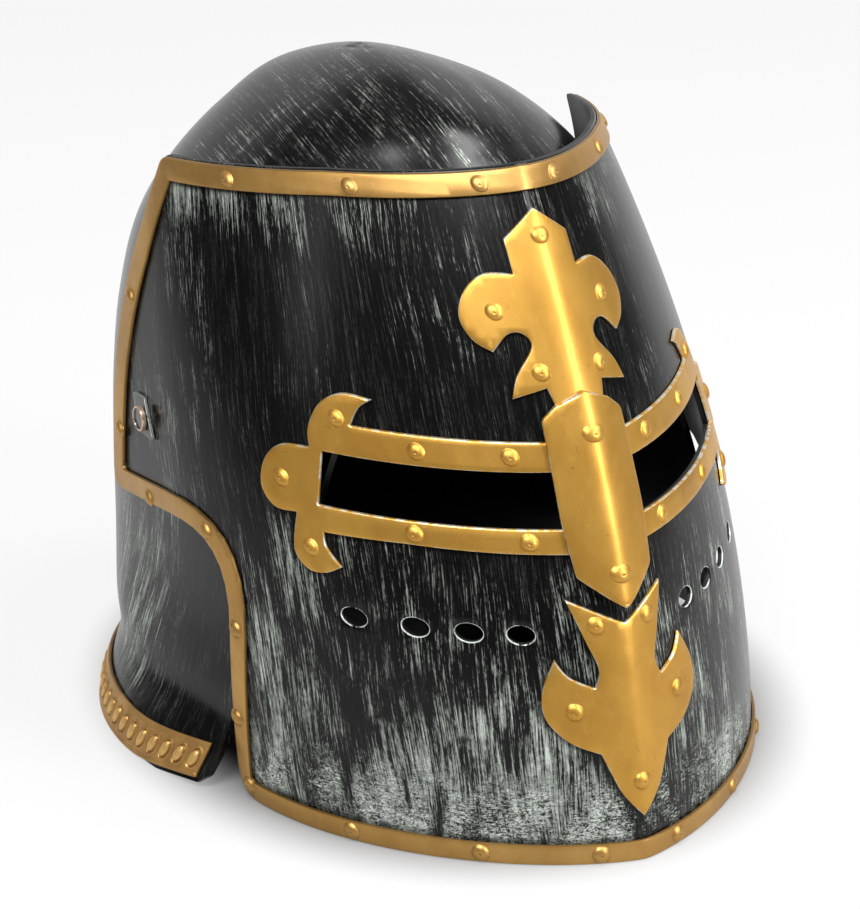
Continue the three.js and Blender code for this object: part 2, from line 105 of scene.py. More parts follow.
def poly(*terms):
    return lambda z: sum(k * (z / 100) ** i for i, k in enumerate(terms))


ridge_y = poly(1.6, 7.3, 15.6, -0.6)
half_width = poly(107, 11, -8.5)
cheek_length = poly(125.4, 25, -7.4)
keel = poly(11.7, 1)


def sheet(u, z):
    """The visor's outer face at u round from the ridge and z up."""
    u, z = np.broadcast_arrays(np.asarray(u, float), np.asarray(z, float))
    angle = np.abs(u) / WRAP_R
    past = np.maximum(0, angle - math.pi / 2)
    front = angle - past
    bump = np.hypot(np.sin(2 * front), RIDGE_SOFTNESS) - RIDGE_SOFTNESS
    sweep = 1 - np.cos(front) + np.sin(past)
    x = np.sign(u) * half_width(z) * (np.sin(front) - REAR_TAPER * (1 - np.cos(past)))
    y = ridge_y(z) + cheek_length(z) * sweep + keel(z) * bump
    return np.stack([x, y, z], -1)


def on_sheet(u, z, t):
    """A point t outside the sheet, measured level."""
    step = 0.05
    along = sheet(u + step, z) - sheet(u - step, z)
    out = np.stack([along[..., 1], -along[..., 0], 0 * along[..., 2]], -1)
    out /= np.linalg.norm(out, axis=-1, keepdims=True)
    return sheet(u, z) + out * np.asarray(t, float)[..., None]


def between(a, b, c, d, t):
    """A smooth step from b at t = 0 to c at t = 1, sloped by the neighbours a and d."""
    v0 = (c - a) / 2
    v1 = (d - b) / 2
    return (2 * b - 2 * c + v0 + v1) * t**3 + (-3 * b + 3 * c - 2 * v0 - v1) * t**2 + v0 * t + b


def section(row):
    """The skull's section sizes at a row, smoothed between the table's rows."""
    row = np.asarray(row, float)
    i = np.clip(np.floor(row).astype(int), 0, CROWN)
    rows = (SECTIONS[np.clip(i + k, 0, CROWN + 1)] for k in (-1, 0, 1, 2))
    return between(*rows, (row - i)[..., None])


def smooth(x, low, high):
    t = np.clip((x - low) / (high - low), 0, 1)
    return t * t * (3 - 2 * t)


def skull(row, angle):
    """The skull's outer face. The angle runs from the back round by the wearer's left."""
    row, angle = np.broadcast_arrays(np.asarray(row, float), np.asarray(angle, float))
    z, wide, centre, rear, front, bulge = np.moveaxis(section(row), -1, 0)
    behind = np.cos(angle) > 0
    spread = 1 + np.where(behind, bulge, 0) * np.sin(2 * angle) ** 2
    y = centre + np.where(behind, rear, front) * spread * np.cos(angle)
    ahead = smooth(RIM_LIFT_START - y, 0, RIM_LIFT_START - GUARD_FRONT)
    lift = RIM_LIFT * ahead * np.maximum(0, 1 - z / 40)
    return np.stack([wide * spread * np.sin(angle), y, z + lift], -1)


def on_skull(row, angle, t):
    """A point t outside the skull, measured square to it."""
    step = 0.01
    row = np.minimum(row, CROWN - 0.02)
    up = skull(row + step, angle) - skull(row, angle)
    along = skull(row, angle + step) - skull(row, angle - step)
    out = np.cross(up, along)
    out /= np.linalg.norm(out, axis=-1, keepdims=True)
    return skull(row, angle) + out * np.asarray(t, float)[..., None]


# ---- Outlines on the sheet, in (u, z) ----

def spline(start, points, per=8):
    """A smooth run from start through the points, as the solids' outlines have."""
    p = np.array([start, *points], float)
    out = []
    for i in range(len(p) - 1):
        around = p[max(i - 1, 0)], p[i], p[i + 1], p[min(i + 2, len(p) - 1)]
        out += [tuple(between(*around, t)) for t in np.linspace(0, 1, per + 1)[1:]]
    return out


def path(*runs):
    """Joins corners (tuples) and smooth runs (lists of points) into one outline."""
    out = []
    for run in runs:
        if isinstance(run, list):
            out += spline(out[-1], run)
        else:
            out.append(run)
    return out


def rounded(corners, closed=False, per=8):
    """Rounds the corners (u, z, radius) of a run of points."""
    out = []
    count = len(corners)
    for i, corner in enumerate(corners):
        p = np.array(corner[:2], float)
        r = corner[2] if len(corner) > 2 else 0
        if r == 0 or (not closed and i in (0, count - 1)):
            out.append(tuple(p))
            continue
        a = np.array(corners[i - 1][:2], float) - p
        b = np.array(corners[(i + 1) % count][:2], float) - p
        a /= np.linalg.norm(a)
        b /= np.linalg.norm(b)
        reach = r / math.tan(math.acos(max(-1, min(1, float(a @ b)))) / 2)
        for t in np.linspace(0, 1, per + 1):
            point = (1 - t) ** 2 * (p + a * reach) + 2 * t * (1 - t) * p + t * t * (p + b * reach)
            out.append(tuple(point))
    return out


def inset(corners, distance):
    """Moves each edge of an open run of corners inward, to its left."""
    pts = [np.array(c[:2], float) for c in corners]
    edges = []
    for a, b in zip(pts, pts[1:]):
        along = (b - a) / np.linalg.norm(b - a)
        edges.append((a + np.array([-along[1], along[0]]) * distance, along))
    out = [(pts[0][0], pts[0][1] + distance)]
    for (at0, al0), (at1, al1), corner in zip(edges, edges[1:], corners[1:]):
        turn = al0[0] * al1[1] - al0[1] * al1[0]
        gap = at1 - at0
        p = at0 + al0 * (gap[0] * al1[1] - gap[1] * al1[0]) / turn
        out.append((p[0], p[1], max(1.5, corner[2] - math.copysign(distance, turn))))
    return out + [(pts[-1][0], pts[-1][1] - distance)]


def mirrored(half):
    """A closed outline from its right half."""
    return list(half) + [(-u, z) for u, z in reversed(half) if u > 1e-6]


def on_side(points, side):
    """An outline on the left (1) or mirrored to the right (-1)."""
    return list(points) if side > 0 else [(-u, z) for u, z in reversed(points)]


def ellipse(u, z, a, b, count=40):
    turns = np.linspace(0, 2 * math.pi, count, endpoint=False)
    return [(u + a * math.cos(t), z + b * math.sin(t)) for t in turns]


VISOR_EDGE = [
    (0, 0), (156, 0, 10), (130, 103, 24), (218, 85, 5), (187, 165, 400), (150, 221.5, 8),
    (74, 230.5, 90), (0, 236),
]
BORDER = [mirrored(rounded(inset(VISOR_EDGE, depth))) for depth in (TRIM_SETBACK, BORDER_WIDTH)]
NOSE_EDGE = [(0, 93.5), (13.8, 104.5, 3), (15.6, 122, 60), (15.5, 156, 3), (10, 160.6, 3), (0, 164.8)]
UPPER_FLEUR = path(
    (0, 154), (8, 154), (11.2, 165.8), (23.4, 162.5),
    [(20.4, 169.8), (13.4, 178.8), (15.4, 183.2), (20.5, 183), (26.5, 177.4)],
    [(32.4, 181), (35.5, 188), (32.4, 196.2), (24.5, 202), (13.8, 202)],
    (14.1, 213), (0, 222.4),
)
LOWER_FLEUR = path(
    (0, 17.2), [(6.7, 26), (10.4, 34.5), (13, 41.8)],
    [(22.6, 46.5), (29.4, 55), (29.5, 64.8), (24.5, 76)],
    [(20.6, 69.8), (12.8, 65.6)], [(10.8, 72), (13.8, 82), (18.4, 96.5)], (0, 87.2),
)
EYE_FRAME = path(
    (10, 111.5), (65, 112.8), (91.3, 112), [(91.2, 107), (86.9, 101)],
    [(92.9, 98), (99, 98.2), (103, 104), (100.3, 116.8)],
    [(108.5, 116.8), (112.8, 123), (110.1, 132.3), (103, 138.5), (92.4, 139.8)],
    [(91.8, 146.8), (86.5, 155.3), (78.4, 159.6), (68.9, 158.8)],
    [(73.5, 155.5), (77.1, 149.4)], (10, 148.4),
)


def slot_outline(margin):
    """The eye slot's corners, moved outward by a margin."""
    ways = [(-1, -1), (1, -1), (1, 1), (-1, 1)]
    return [(u + margin * a, z + margin * b) for (u, z), (a, b) in zip(EYE_SLOT, ways)]


def pivot_u():
    """How far round the sheet the pivot's axis comes through it, found by halving."""
    low, high = 150.0, 215.0
    for _ in range(40):
        middle = (low + high) / 2
        if sheet(middle, PIVOT_Z)[1] < PIVOT_Y:
            low = middle
        else:
            high = middle
    return low


PIVOT_U = pivot_u()
PIVOT_X = float(sheet(PIVOT_U, PIVOT_Z)[0])


# ---- Meshes ----

def placed(name, data):
    """A new object in the scene."""
    obj = bpy.data.objects.new(name, data)
    bpy.context.scene.collection.objects.link(obj)
    return obj


def new_piece(name, points, faces, body, slot, materials, sharp=35):
    """A closed mesh piece from points in the helm's frame."""
    mesh = bpy.data.meshes.new(name)
    mesh.from_pydata(row_frame(points).tolist(), [], faces)
    mesh.validate()
    mesh.update()
    for material in materials:
        mesh.materials.append(material)
    mesh.shade_smooth()
    mesh.set_sharp_from_angle(angle=math.radians(sharp))
    obj = placed(name, mesh)
    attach(obj, body)
    return obj


def put_values(obj, name, values):
    """Stores a number or a vector at every vertex, for the materials to read."""
    values = np.asarray(values, np.float32)
    kind = "FLOAT" if values.ndim == 1 else "FLOAT_VECTOR"
    layer = obj.data.attributes.new(name, kind, "POINT")
    layer.data.foreach_set("value" if values.ndim == 1 else "vector", values.ravel())


def resampled(loop, step):
    """Adds points along the outline's longer edges."""
    out = []
    for a, b in zip(loop, loop[1:] + loop[:1]):
        a, b = np.array(a, float), np.array(b, float)
        parts = max(1, int(round(np.linalg.norm(b - a) / step)))
        out += [tuple(a + (b - a) * k / parts) for k in range(parts)]
    return out


def edge_distance(points, loops):
    """How far each (u, z) lies from the nearest outline."""
    best = np.full(len(points), 1e9)
    for loop in loops:
        a = np.array(loop, float)
        b = np.roll(a, -1, axis=0)
        for start in range(0, len(a), 64):
            p, q = a[start:start + 64], b[start:start + 64]
            along = q - p
            w = points[:, None, :] - p[None]
            t = np.clip((w * along).sum(-1) / (along * along).sum(-1), 0, 1)
            gap = np.linalg.norm(w - t[..., None] * along, axis=-1)
            best = np.minimum(best, gap.min(axis=1))
    return best


def inside(points, loops):
    """True where a (u, z) lies within the outer outline and outside the holes."""
    odd = np.zeros(len(points), bool)
    for loop in loops:
        a = np.array(loop, float)
        for (x0, y0), (x1, y1) in zip(a, np.roll(a, -1, axis=0)):
            if y0 == y1:
                continue
            hit = (points[:, 1] > y0) != (points[:, 1] > y1)
            cross = x0 + (points[:, 1] - y0) / (y1 - y0) * (x1 - x0)
            odd ^= hit & (points[:, 0] < cross)
    return odd


def inner_rings(loops, depths):
    """Points set in from the outlines, which let the plate's edge be rounded."""
    rings = []
    for loop in loops:
        p = np.array(loop, float)
        along = np.roll(p, -1, axis=0) - np.roll(p, 1, axis=0)
        normal = np.stack([-along[:, 1], along[:, 0]], -1)
        normal /= np.linalg.norm(normal, axis=1, keepdims=True)
        for depth in depths:
            for way in (1, -1):
                rings.append((p + way * normal * depth, depth))
    kept = []
    for ring, depth in rings:
        clear = edge_distance(ring, loops) > 0.93 * depth
        kept.append(ring[clear & inside(ring, loops)])
    return np.concatenate(kept)


def flat_mesh(loops, cell, edge_step, depths):
    """A fine triangle mesh of the area between the outlines."""
    loops = [resampled(loop, edge_step) for loop in loops]
    corners = np.array(loops[0])
    low, high = corners.min(axis=0), corners.max(axis=0)
    reach = math.ceil(max(abs(low[0]), abs(high[0])) / cell)
    near_ridge = [0, 0.7, 1.4, 2.3, 3.6]
    lines = near_ridge + [k * cell for k in range(1, reach + 1) if k * cell > 4.5]
    us = np.array(sorted({-v for v in lines} | set(lines)))
    zs = np.arange(low[1] + cell / 2, high[1], cell)
    grid = np.stack(np.meshgrid(us, zs), -1).reshape(-1, 2)
    grid = grid[inside(grid, loops)]
    grid = grid[edge_distance(grid, loops) > max([*depths, 0]) + 0.35 * edge_step]
    rings = inner_rings(loops, depths) if depths else np.zeros((0, 2))
    edges = []
    first = 0
    for loop in loops:
        count = len(loop)
        edges += [(first + k, first + (k + 1) % count) for k in range(count)]
        first += count
    every = [Vector(p) for loop in loops for p in loop]
    every += [Vector(p) for p in np.concatenate([rings, grid]).tolist()]
    verts, _, faces, *_ = delaunay_2d_cdt(every, edges, [], 0, 1e-5, False)
    points = np.array([tuple(v) for v in verts])
    tris = np.array([f for f in faces if len(f) == 3])
    tris = tris[inside(points[tris].mean(axis=1), loops)]
    a, b, c = (points[tris[:, k]] for k in range(3))
    area = (b - a)[:, 0] * (c - a)[:, 1] - (b - a)[:, 1] * (c - a)[:, 0]
    tris[area < 0] = tris[area < 0][:, ::-1]
    tris = tris[np.abs(area) > 1e-9]
    used, tris = np.unique(tris, return_inverse=True)
    return points[used], tris.reshape(-1, 3), edge_distance(points[used], loops)


def open_edges(tris):
    """The directed edges that only one triangle has."""
    pairs = np.concatenate([tris[:, [0, 1]], tris[:, [1, 2]], tris[:, [2, 0]]])
    have = {tuple(p) for p in pairs.tolist()}
    return [(a, b) for a, b in have if (b, a) not in have]


def plate(name, loops, inner, outer, body, slot, materials, cell=3.0, edge_step=1.2, round_r=0.5):
    """A plate between two distances from the sheet, with its outer edge rounded."""
    depths = [0.3 * round_r, round_r] if round_r else []
    flat, tris, depth = flat_mesh(loops, cell, edge_step, depths)
    u, z = flat[:, 0], flat[:, 1]
    crest = outer(u) if callable(outer) else np.full(len(u), float(outer))
    short = round_r - np.minimum(depth, round_r)
    fall = round_r - np.sqrt(np.maximum(0, round_r**2 - short**2)) if round_r else 0
    top = on_sheet(u, z, crest - fall)
    low = on_sheet(u, z, np.full(len(u), float(inner)))
    count = len(flat)
    faces = tris.tolist() + (tris[:, ::-1] + count).tolist()
    faces += [[b, a, a + count, b + count] for a, b in open_edges(tris)]
    obj = new_piece(name, np.concatenate([top, low]), faces, body, slot, materials)
    put_values(obj, "flat", np.tile(np.stack([u, z, depth], -1), (2, 1)))
    if len(materials) > 1:
        backs = np.zeros(len(obj.data.polygons), np.int32)
        backs[len(tris):] = 1
        obj.data.polygons.foreach_set("material_index", backs)
    return obj, flat


def closed_grid(outer, inner, wrap=False, first=True, last=True):
    """Points and quads of a wall between two grids of points [row, column].

    The strip along the first or the last row is left out where that row closes to a point.
    """
    rows, columns = outer.shape[:2]
    count = rows * columns
    index = np.arange(count).reshape(rows, columns)
    if wrap:
        index = np.concatenate([index, index[:, :1]], axis=1)
    quads = np.stack([index[:-1, :-1], index[:-1, 1:], index[1:, 1:], index[1:, :-1]], -1)
    quads = quads.reshape(-1, 4)
    ends = [index[0]] * first + [index[-1, ::-1]] * last
    if not wrap:
        ends += [index[::-1, 0], index[:, -1]]
    strips = [np.stack([e[1:], e[:-1], e[:-1] + count, e[1:] + count], -1) for e in ends]
    points = np.concatenate([outer.reshape(-1, 3), inner.reshape(-1, 3)])
    return points, np.concatenate([quads, quads[:, ::-1] + count, *strips]).tolist()


def skin(rings, closed=False):
    """Points and faces over rings of points, capped unless the last ring joins the first."""
    total, count = len(rings), len(rings[0])
    faces = []
    for r in range(total if closed else total - 1):
        n = (r + 1) % total
        for c in range(count):
            d = (c + 1) % count
            faces.append([r * count + c, r * count + d, n * count + d, n * count + c])
    if not closed:
        faces += [list(range(count))[::-1], [(total - 1) * count + c for c in range(count)]]
    return np.concatenate(rings), faces


def vectors(items, key):
    """One vector for each of a mesh's vertices or polygons."""
    values = np.empty(len(items) * 3)
    items.foreach_get(key, values)
    return values.reshape(-1, 3)


def edit(obj, change):
    """Runs a bmesh change on the piece."""
    bm = bmesh.new()
    bm.from_mesh(obj.data)
    change(bm)
    bm.to_mesh(obj.data)
    bm.free()


def outward(obj):
    """Turns every face outward."""
    edit(obj, lambda bm: bmesh.ops.recalc_face_normals(bm, faces=bm.faces[:]))


def welded(obj):
    """Joins the points that lie together at a pole."""
    edit(obj, lambda bm: bmesh.ops.remove_doubles(bm, verts=bm.verts[:], dist=1e-6))


def apply_modifiers(obj):
    """Replaces the mesh by what its modifiers make of it."""
    view = bpy.context.evaluated_depsgraph_get()
    mesh = bpy.data.meshes.new_from_object(obj.evaluated_get(view))
    obj.modifiers.clear()
    old = obj.data
    obj.data = mesh
    bpy.data.meshes.remove(old)


# ---- Materials ----

OBJECT_SPACE = 3  # the texture coordinate node's output for the object's own metres


class Graph:
    """Builds the nodes that feed one shader: a material's or the world's."""

    def __init__(self, owner, shader="Principled BSDF", **settings):
        owner.use_nodes = True
        self.owner = owner
        self.nodes = owner.node_tree.nodes
        self.links = owner.node_tree.links
        self.shader = self.nodes[shader]
        self.feed(**settings)

    def feed(self, **settings):
        """Sets or links the shader's sockets, named with _ for a space."""
        for key, value in settings.items():
            self.set(self.shader.inputs[key.replace("_", " ")], value)

    def set(self, socket, value):
        if isinstance(value, bpy.types.NodeSocket):
            self.links.new(value, socket)
        elif value is not None:
            socket.default_value = value

    def node(self, kind, inputs=(), out=0, **props):
        n = self.nodes.new(kind)
        for key, value in props.items():
            setattr(n, key, value)
        for i, value in enumerate(inputs):
            self.set(n.inputs[i], value)
        return n.outputs[out]

    def attribute(self, name, out):
        return self.node("ShaderNodeAttribute", attribute_name=name, out=out)

    def math(self, operation, *values):
        return self.node("ShaderNodeMath", values, operation=operation)

    def times(self, a, b):
        return self.math("MULTIPLY", a, b)

    def add(self, total, *parts):
        for part in parts:
            total = self.math("ADD", total, part)
        return total

    def split(self, vector):
        n = self.nodes.new("ShaderNodeSeparateXYZ")
        self.set(n.inputs[0], vector)
        return n.outputs

    def join(self, x, y, z=0.0):
        return self.node("ShaderNodeCombineXYZ", (x, y, z))

    def noise(self, vector, scale, detail=3.0, roughness=0.5, distortion=0.0):
        """Noise with a scale along each axis. A pair of scales makes it the same at every depth."""
        scale = (*scale, 0.0)[:3]
        scaled = self.node("ShaderNodeVectorMath", (vector, scale), operation="MULTIPLY")
        n = self.nodes.new("ShaderNodeTexNoise")
        keys = ("Vector", "Scale", "Detail", "Roughness", "Distortion")
        for key, value in zip(keys, (scaled, 1.0, detail, roughness, distortion)):
            self.set(n.inputs[key], value)
        return n.outputs["Fac"]

    def smooth(self, value, low, high, to_low=0.0, to_high=1.0):
        """Eases from to_low at low to to_high at high."""
        n = self.nodes.new("ShaderNodeMapRange")
        n.interpolation_type = "SMOOTHSTEP"
        for socket, v in zip(n.inputs, (value, low, high, to_low, to_high)):
            self.set(socket, v)
        return n.outputs[0]

    def mix(self, factor, a, b):
        n = self.nodes.new("ShaderNodeMix")
        n.data_type = "RGBA"
        self.set(n.inputs["Factor"], factor)
        self.set(n.inputs[6], (*a, 1) if isinstance(a, tuple) else a)
        self.set(n.inputs[7], (*b, 1) if isinstance(b, tuple) else b)
        return n.outputs[2]

    def blend(self, factor, a, b):
        n = self.nodes.new("ShaderNodeMix")
        self.set(n.inputs["Factor"], factor)
        self.set(n.inputs[2], a)
        self.set(n.inputs[3], b)
        return n.outputs[0]

    def finish(self, color, roughness=None, metallic=None, height=None, depth=0.0001, strength=1.0):
        """Feeds the shader, with a bump of the given depth in metres, and gives the material."""
        self.feed(Base_Color=color, Roughness=roughness, Metallic=metallic)
        if height is not None:
            bump = self.nodes.new("ShaderNodeBump")
            self.set(bump.inputs["Strength"], strength)
            self.set(bump.inputs["Distance"], depth)
            self.set(bump.inputs["Height"], height)
            self.feed(Normal=bump.outputs[0])
        return self.owner


def new_paint(name, **settings):
    return Graph(bpy.data.materials.new(name), **settings)


BLACK = (0.0022, 0.0021, 0.0022)
SMOKE = (0.030, 0.031, 0.028)
SILVER = (0.22, 0.242, 0.215)
PALE_SILVER = (0.55, 0.60, 0.55)
# Dark gold, used for random smut on the golds and for painted shade at plate edges, round rivet bases and in
# the band's low places.
GOLD_SMUT_AND_SHADE = (0.09, 0.050, 0.014)
EDGE_SILVER = (0.55, 0.52, 0.43)
# The golds have three tones each: deep, middle and bright.
TRIM_TONES = ((0.42, 0.215, 0.034), (0.56, 0.31, 0.058), (0.72, 0.43, 0.10))
BORDER_TONES = ((0.34, 0.185, 0.050), (0.45, 0.26, 0.075), (0.60, 0.37, 0.12))


# How high the strokes' field has to be before silver shows, and how far a full amount lowers that.
SILVER_FROM = 0.60
SILVER_GIVE = 0.16
STROKE_SWAY = 9.0


def strokes(g, across, along):
    """Fine brush strokes: many hair lines, of differing width, all running along."""
    sway = g.noise(g.join(across, along), (0.02, 0.012), detail=1.0)
    at = g.join(g.add(across, g.times(sway, STROKE_SWAY)), along)
    hair = g.noise(at, (1.9, 0.065), roughness=0.65)
    lines = g.noise(at, (0.75, 0.030), roughness=0.65)
    specks = g.noise(at, (1.3, 0.45), roughness=0.7)
    bands = g.noise(at, (0.20, 0.016), roughness=0.6)
    return g.add(
        g.times(hair, 0.44), g.times(lines, 0.24), g.times(specks, 0.18), g.times(bands, 0.14))


def scumble(g, at):
    """Short curling dabs where the brush was worked into an edge."""
    coarse = g.noise(at, (0.30, 0.16, 1), detail=4.0, roughness=0.7, distortion=1.6)
    fine = g.noise(at, (1.1, 0.55, 1), roughness=0.65, distortion=1.2)
    return g.add(g.times(coarse, 0.5), g.times(fine, 0.5))


def brushed_coat(g, field, amount, clear, metal, soft):
    """Silver over the black shell wherever the strokes' field passes what the amount allows.

    Clear is 0 where the paint is kept bare, and soft is how gradually the silver comes in.
    """
    low = g.math("SUBTRACT", SILVER_FROM, g.times(amount, SILVER_GIVE))
    mask = g.times(g.smooth(field, low, g.add(low, soft)), clear)
    cover = g.times(mask, g.smooth(amount, 0.10, 0.85, 0.30, 1.0))
    bright = g.smooth(field, g.add(low, 0.06), g.add(low, 0.15))
    silver = g.mix(g.times(bright, clear), SILVER, PALE_SILVER)
    ground = g.mix(g.smooth(field, 0.48, 0.66), BLACK, SMOKE)
    color = g.mix(cover, ground, silver)
    roughness = g.add(0.24, g.times(cover, 0.24))
    metallic = g.times(cover, metal)
    height = g.add(g.times(field, 0.6), g.times(mask, 0.4))
    return g.finish(color, roughness, metallic, height, depth=0.0001, strength=0.45)


def visor_paint():
    """Silver in drifting patches, thickest low down, at the foot, at the back and under the brow.

    It is worked in curls along the foot, stays off the corners beside the trims, and is worn
    bright on the rims of the holes.
    """
    g = new_paint("visor_blackened_silver", Specular_IOR_Level=0.22)
    flat = g.attribute("flat", 1)
    u, z, rim = g.split(flat)
    trim = g.attribute("trim", 2)
    away = g.math("ABSOLUTE", u)
    patch = g.noise(flat, (0.030, 0.014), detail=2.0)
    small = g.noise(flat, (0.10, 0.035), roughness=0.6)
    lower = g.smooth(g.add(z, g.times(away, 0.10)), 135.0, 88.0)
    foot = g.smooth(z, 60.0, 15.0)
    back = g.times(g.smooth(away, 95.0, 150.0), 0.20)
    brow = g.times(g.smooth(z, 196.0, 216.0), g.smooth(away, 50.0, 90.0, 0.2, 0.55))
    amount = g.add(
        g.smooth(patch, 0.34, 0.66, -0.06, 0.32), g.smooth(small, 0.34, 0.66, -0.14, 0.24),
        g.times(lower, 0.40), g.times(foot, 0.26), back, brow)
    curl = g.times(g.smooth(z, 44.0, 14.0), g.smooth(small, 0.36, 0.56))
    field = g.blend(curl, strokes(g, u, z), scumble(g, flat))
    shy = g.smooth(g.add(trim, g.times(small, 4.0)), 1.8, 5.0)
    in_field = g.times(g.smooth(trim, 1.0, 2.0), g.smooth(small, 0.34, 0.5))
    wear = g.times(g.smooth(rim, 0.4, 0.25), in_field)
    amount = g.add(amount, g.times(wear, 1.2))
    return brushed_coat(g, field, amount, g.math("MAXIMUM", shy, wear), metal=0.5, soft=0.075)


def skull_paint():
    """Silver brushed up and down the wall, thickest low on the sides, and slantwise over the crown."""
    g = new_paint("skull_blackened_silver", Specular_IOR_Level=0.28)
    flat = g.attribute("flat", 1)
    u, z, _ = g.split(flat)
    across, along, crown = g.split(g.attribute("dome", 1))
    patch = g.noise(flat, (0.026, 0.016), detail=2.0)
    small = g.noise(flat, (0.09, 0.035), roughness=0.6)
    field = g.blend(crown, strokes(g, u, z), strokes(g, across, along))
    amount = g.add(g.smooth(patch, 0.34, 0.66, 0.0, 0.30), g.smooth(small, 0.34, 0.66, -0.06, 0.22))
    rear = g.smooth(g.math("ABSOLUTE", u), 212.0, 165.0)
    wall = g.times(g.smooth(z, 185.0, 110.0), g.times(rear, 0.55))
    amount = g.add(amount, g.add(wall, g.times(crown, 0.24)))
    shy = g.smooth(g.add(z, g.times(small, 9.0)), 18.0, 30.0, 0.15, 1.0)
    return brushed_coat(g, field, amount, shy, metal=0.85, soft=0.12)


def lining_black():
    g = new_paint("inner_black", Specular_IOR_Level=0.35)
    at = g.node("ShaderNodeTexCoord", out=OBJECT_SPACE)
    cloud = g.noise(at, (40, 40, 40))
    grain = g.noise(at, (900, 900, 900), detail=2.0)
    color = g.mix(cloud, (0.003, 0.003, 0.003), (0.010, 0.0105, 0.010))
    return g.finish(color, g.smooth(cloud, 0.3, 0.7, 0.45, 0.62), None, grain, 0.00008, 0.4)


def gold_paint(name, tones, worn_edge):
    """Satin gold paint with a fine grain. Its outer edges are worn to silver, or else darkened with painted
    shade.
    """
    deep, middle, bright = tones
    g = new_paint(name)
    flat = g.attribute("flat", 1)
    depth = g.split(flat)[2]
    cloud = g.noise(flat, (0.05, 0.03), roughness=0.6)
    blotch = g.noise(flat, (0.30, 0.20), detail=4.0, roughness=0.65)
    grain = g.noise(flat, (3.4, 3.4), detail=2.0, roughness=0.75)
    tone = g.add(g.times(cloud, 0.45), g.times(grain, 0.55))
    color = g.mix(g.smooth(tone, 0.40, 0.60), deep, middle)
    color = g.mix(g.smooth(blotch, 0.52, 0.78, 0.0, 0.25), color, bright)
    color = g.mix(g.smooth(blotch, 0.38, 0.22, 0.0, 0.55), color, GOLD_SMUT_AND_SHADE)
    if worn_edge:
        edge = g.times(g.smooth(depth, 0.42, 0.16), g.smooth(blotch, 0.42, 0.58))
        color = g.mix(edge, color, EDGE_SILVER)
    else:
        # Painted shade: darker towards the plate's edges, round the rivets' bases and in their pin marks.
        color = g.mix(g.smooth(depth, 0.40, 0.05, 0.0, 0.6), color, GOLD_SMUT_AND_SHADE)
    roughness = g.smooth(grain, 0.3, 0.7, 0.33, 0.46)
    return g.finish(color, roughness, 0.80, grain, depth=0.00008, strength=0.6)


def band_gold():
    """The neck band's gold, darker in its low places and brighter on its raised bosses: painted shade and
    painted highlight.
    """
    g = new_paint("band_gold_painted_light")
    flat = g.attribute("flat", 1)
    lift = g.split(flat)[2]
    cloud = g.noise(flat, (0.10, 0.10), roughness=0.6)
    grain = g.noise(flat, (2.6, 2.6), detail=2.0, roughness=0.7)
    tone = g.add(g.times(cloud, 0.6), g.times(grain, 0.4))
    color = g.mix(g.smooth(tone, 0.34, 0.66), (0.30, 0.155, 0.045), (0.46, 0.26, 0.075))
    # Painted highlight: brighter gold on the tops of the raised bosses, rings and lip.
    color = g.mix(g.smooth(lift, 0.30, 0.95, 0.0, 0.75), color, (0.70, 0.44, 0.15))
    # Painted shade: darker gold in the grooves and at the band's edges, where the relief sinks.
    color = g.mix(g.smooth(lift, -0.05, -0.32, 0.0, 0.8), color, GOLD_SMUT_AND_SHADE)
    roughness = g.smooth(grain, 0.3, 0.7, 0.40, 0.54)
    return g.finish(color, roughness, 0.7, grain, depth=0.00008, strength=0.5)


def pewter():
    """Dull smoke-grey metal, brassy round the rim of the pin's head."""
    g = new_paint("pewter")
    at = g.node("ShaderNodeTexCoord", out=OBJECT_SPACE)
    reach = g.attribute("reach", 2)
    cloud = g.noise(at, (120, 120, 120))
    grain = g.noise(at, (1800, 1800, 1800), detail=2.0)
    color = g.mix(g.smooth(cloud, 0.35, 0.65), (0.10, 0.095, 0.085), (0.24, 0.23, 0.21))
    color = g.mix(g.smooth(reach, 4.15, 4.35), color, (0.62, 0.45, 0.33))
    return g.finish(color, g.smooth(cloud, 0.3, 0.7, 0.22, 0.42), 0.75, grain, 0.00004, 0.5)


def smoky_tab():
    """The glossy grey tab round the pin."""
    g = new_paint("smoky_tab", Specular_IOR_Level=0.6)
    flat = g.attribute("flat", 1)
    cloud = g.noise(flat, (0.25, 0.18))
    grain = g.noise(flat, (2.4, 2.4), detail=2.0)
    edge = g.smooth(g.split(flat)[2], 0.5, 0.2)
    color = g.mix(g.smooth(cloud, 0.35, 0.65), (0.010, 0.010, 0.010), (0.045, 0.044, 0.040))
    color = g.mix(g.times(edge, 0.5), color, (0.22, 0.22, 0.20))
    return g.finish(color, g.smooth(cloud, 0.3, 0.7, 0.16, 0.30), None, grain, 0.00004, 0.4)


def washer_fibre():
    g = new_paint("washer_fibre", Specular_IOR_Level=0.3)
    at = g.node("ShaderNodeTexCoord", out=OBJECT_SPACE)
    fleck = g.noise(at, (700, 700, 2200), roughness=0.7)
    color = g.mix(fleck, (0.012, 0.012, 0.013), (0.05, 0.048, 0.045))
    return g.finish(color, g.smooth(fleck, 0.3, 0.7, 0.7, 0.9), None, fleck, 0.0001, 0.6)


THREAD_PITCH = 1.1


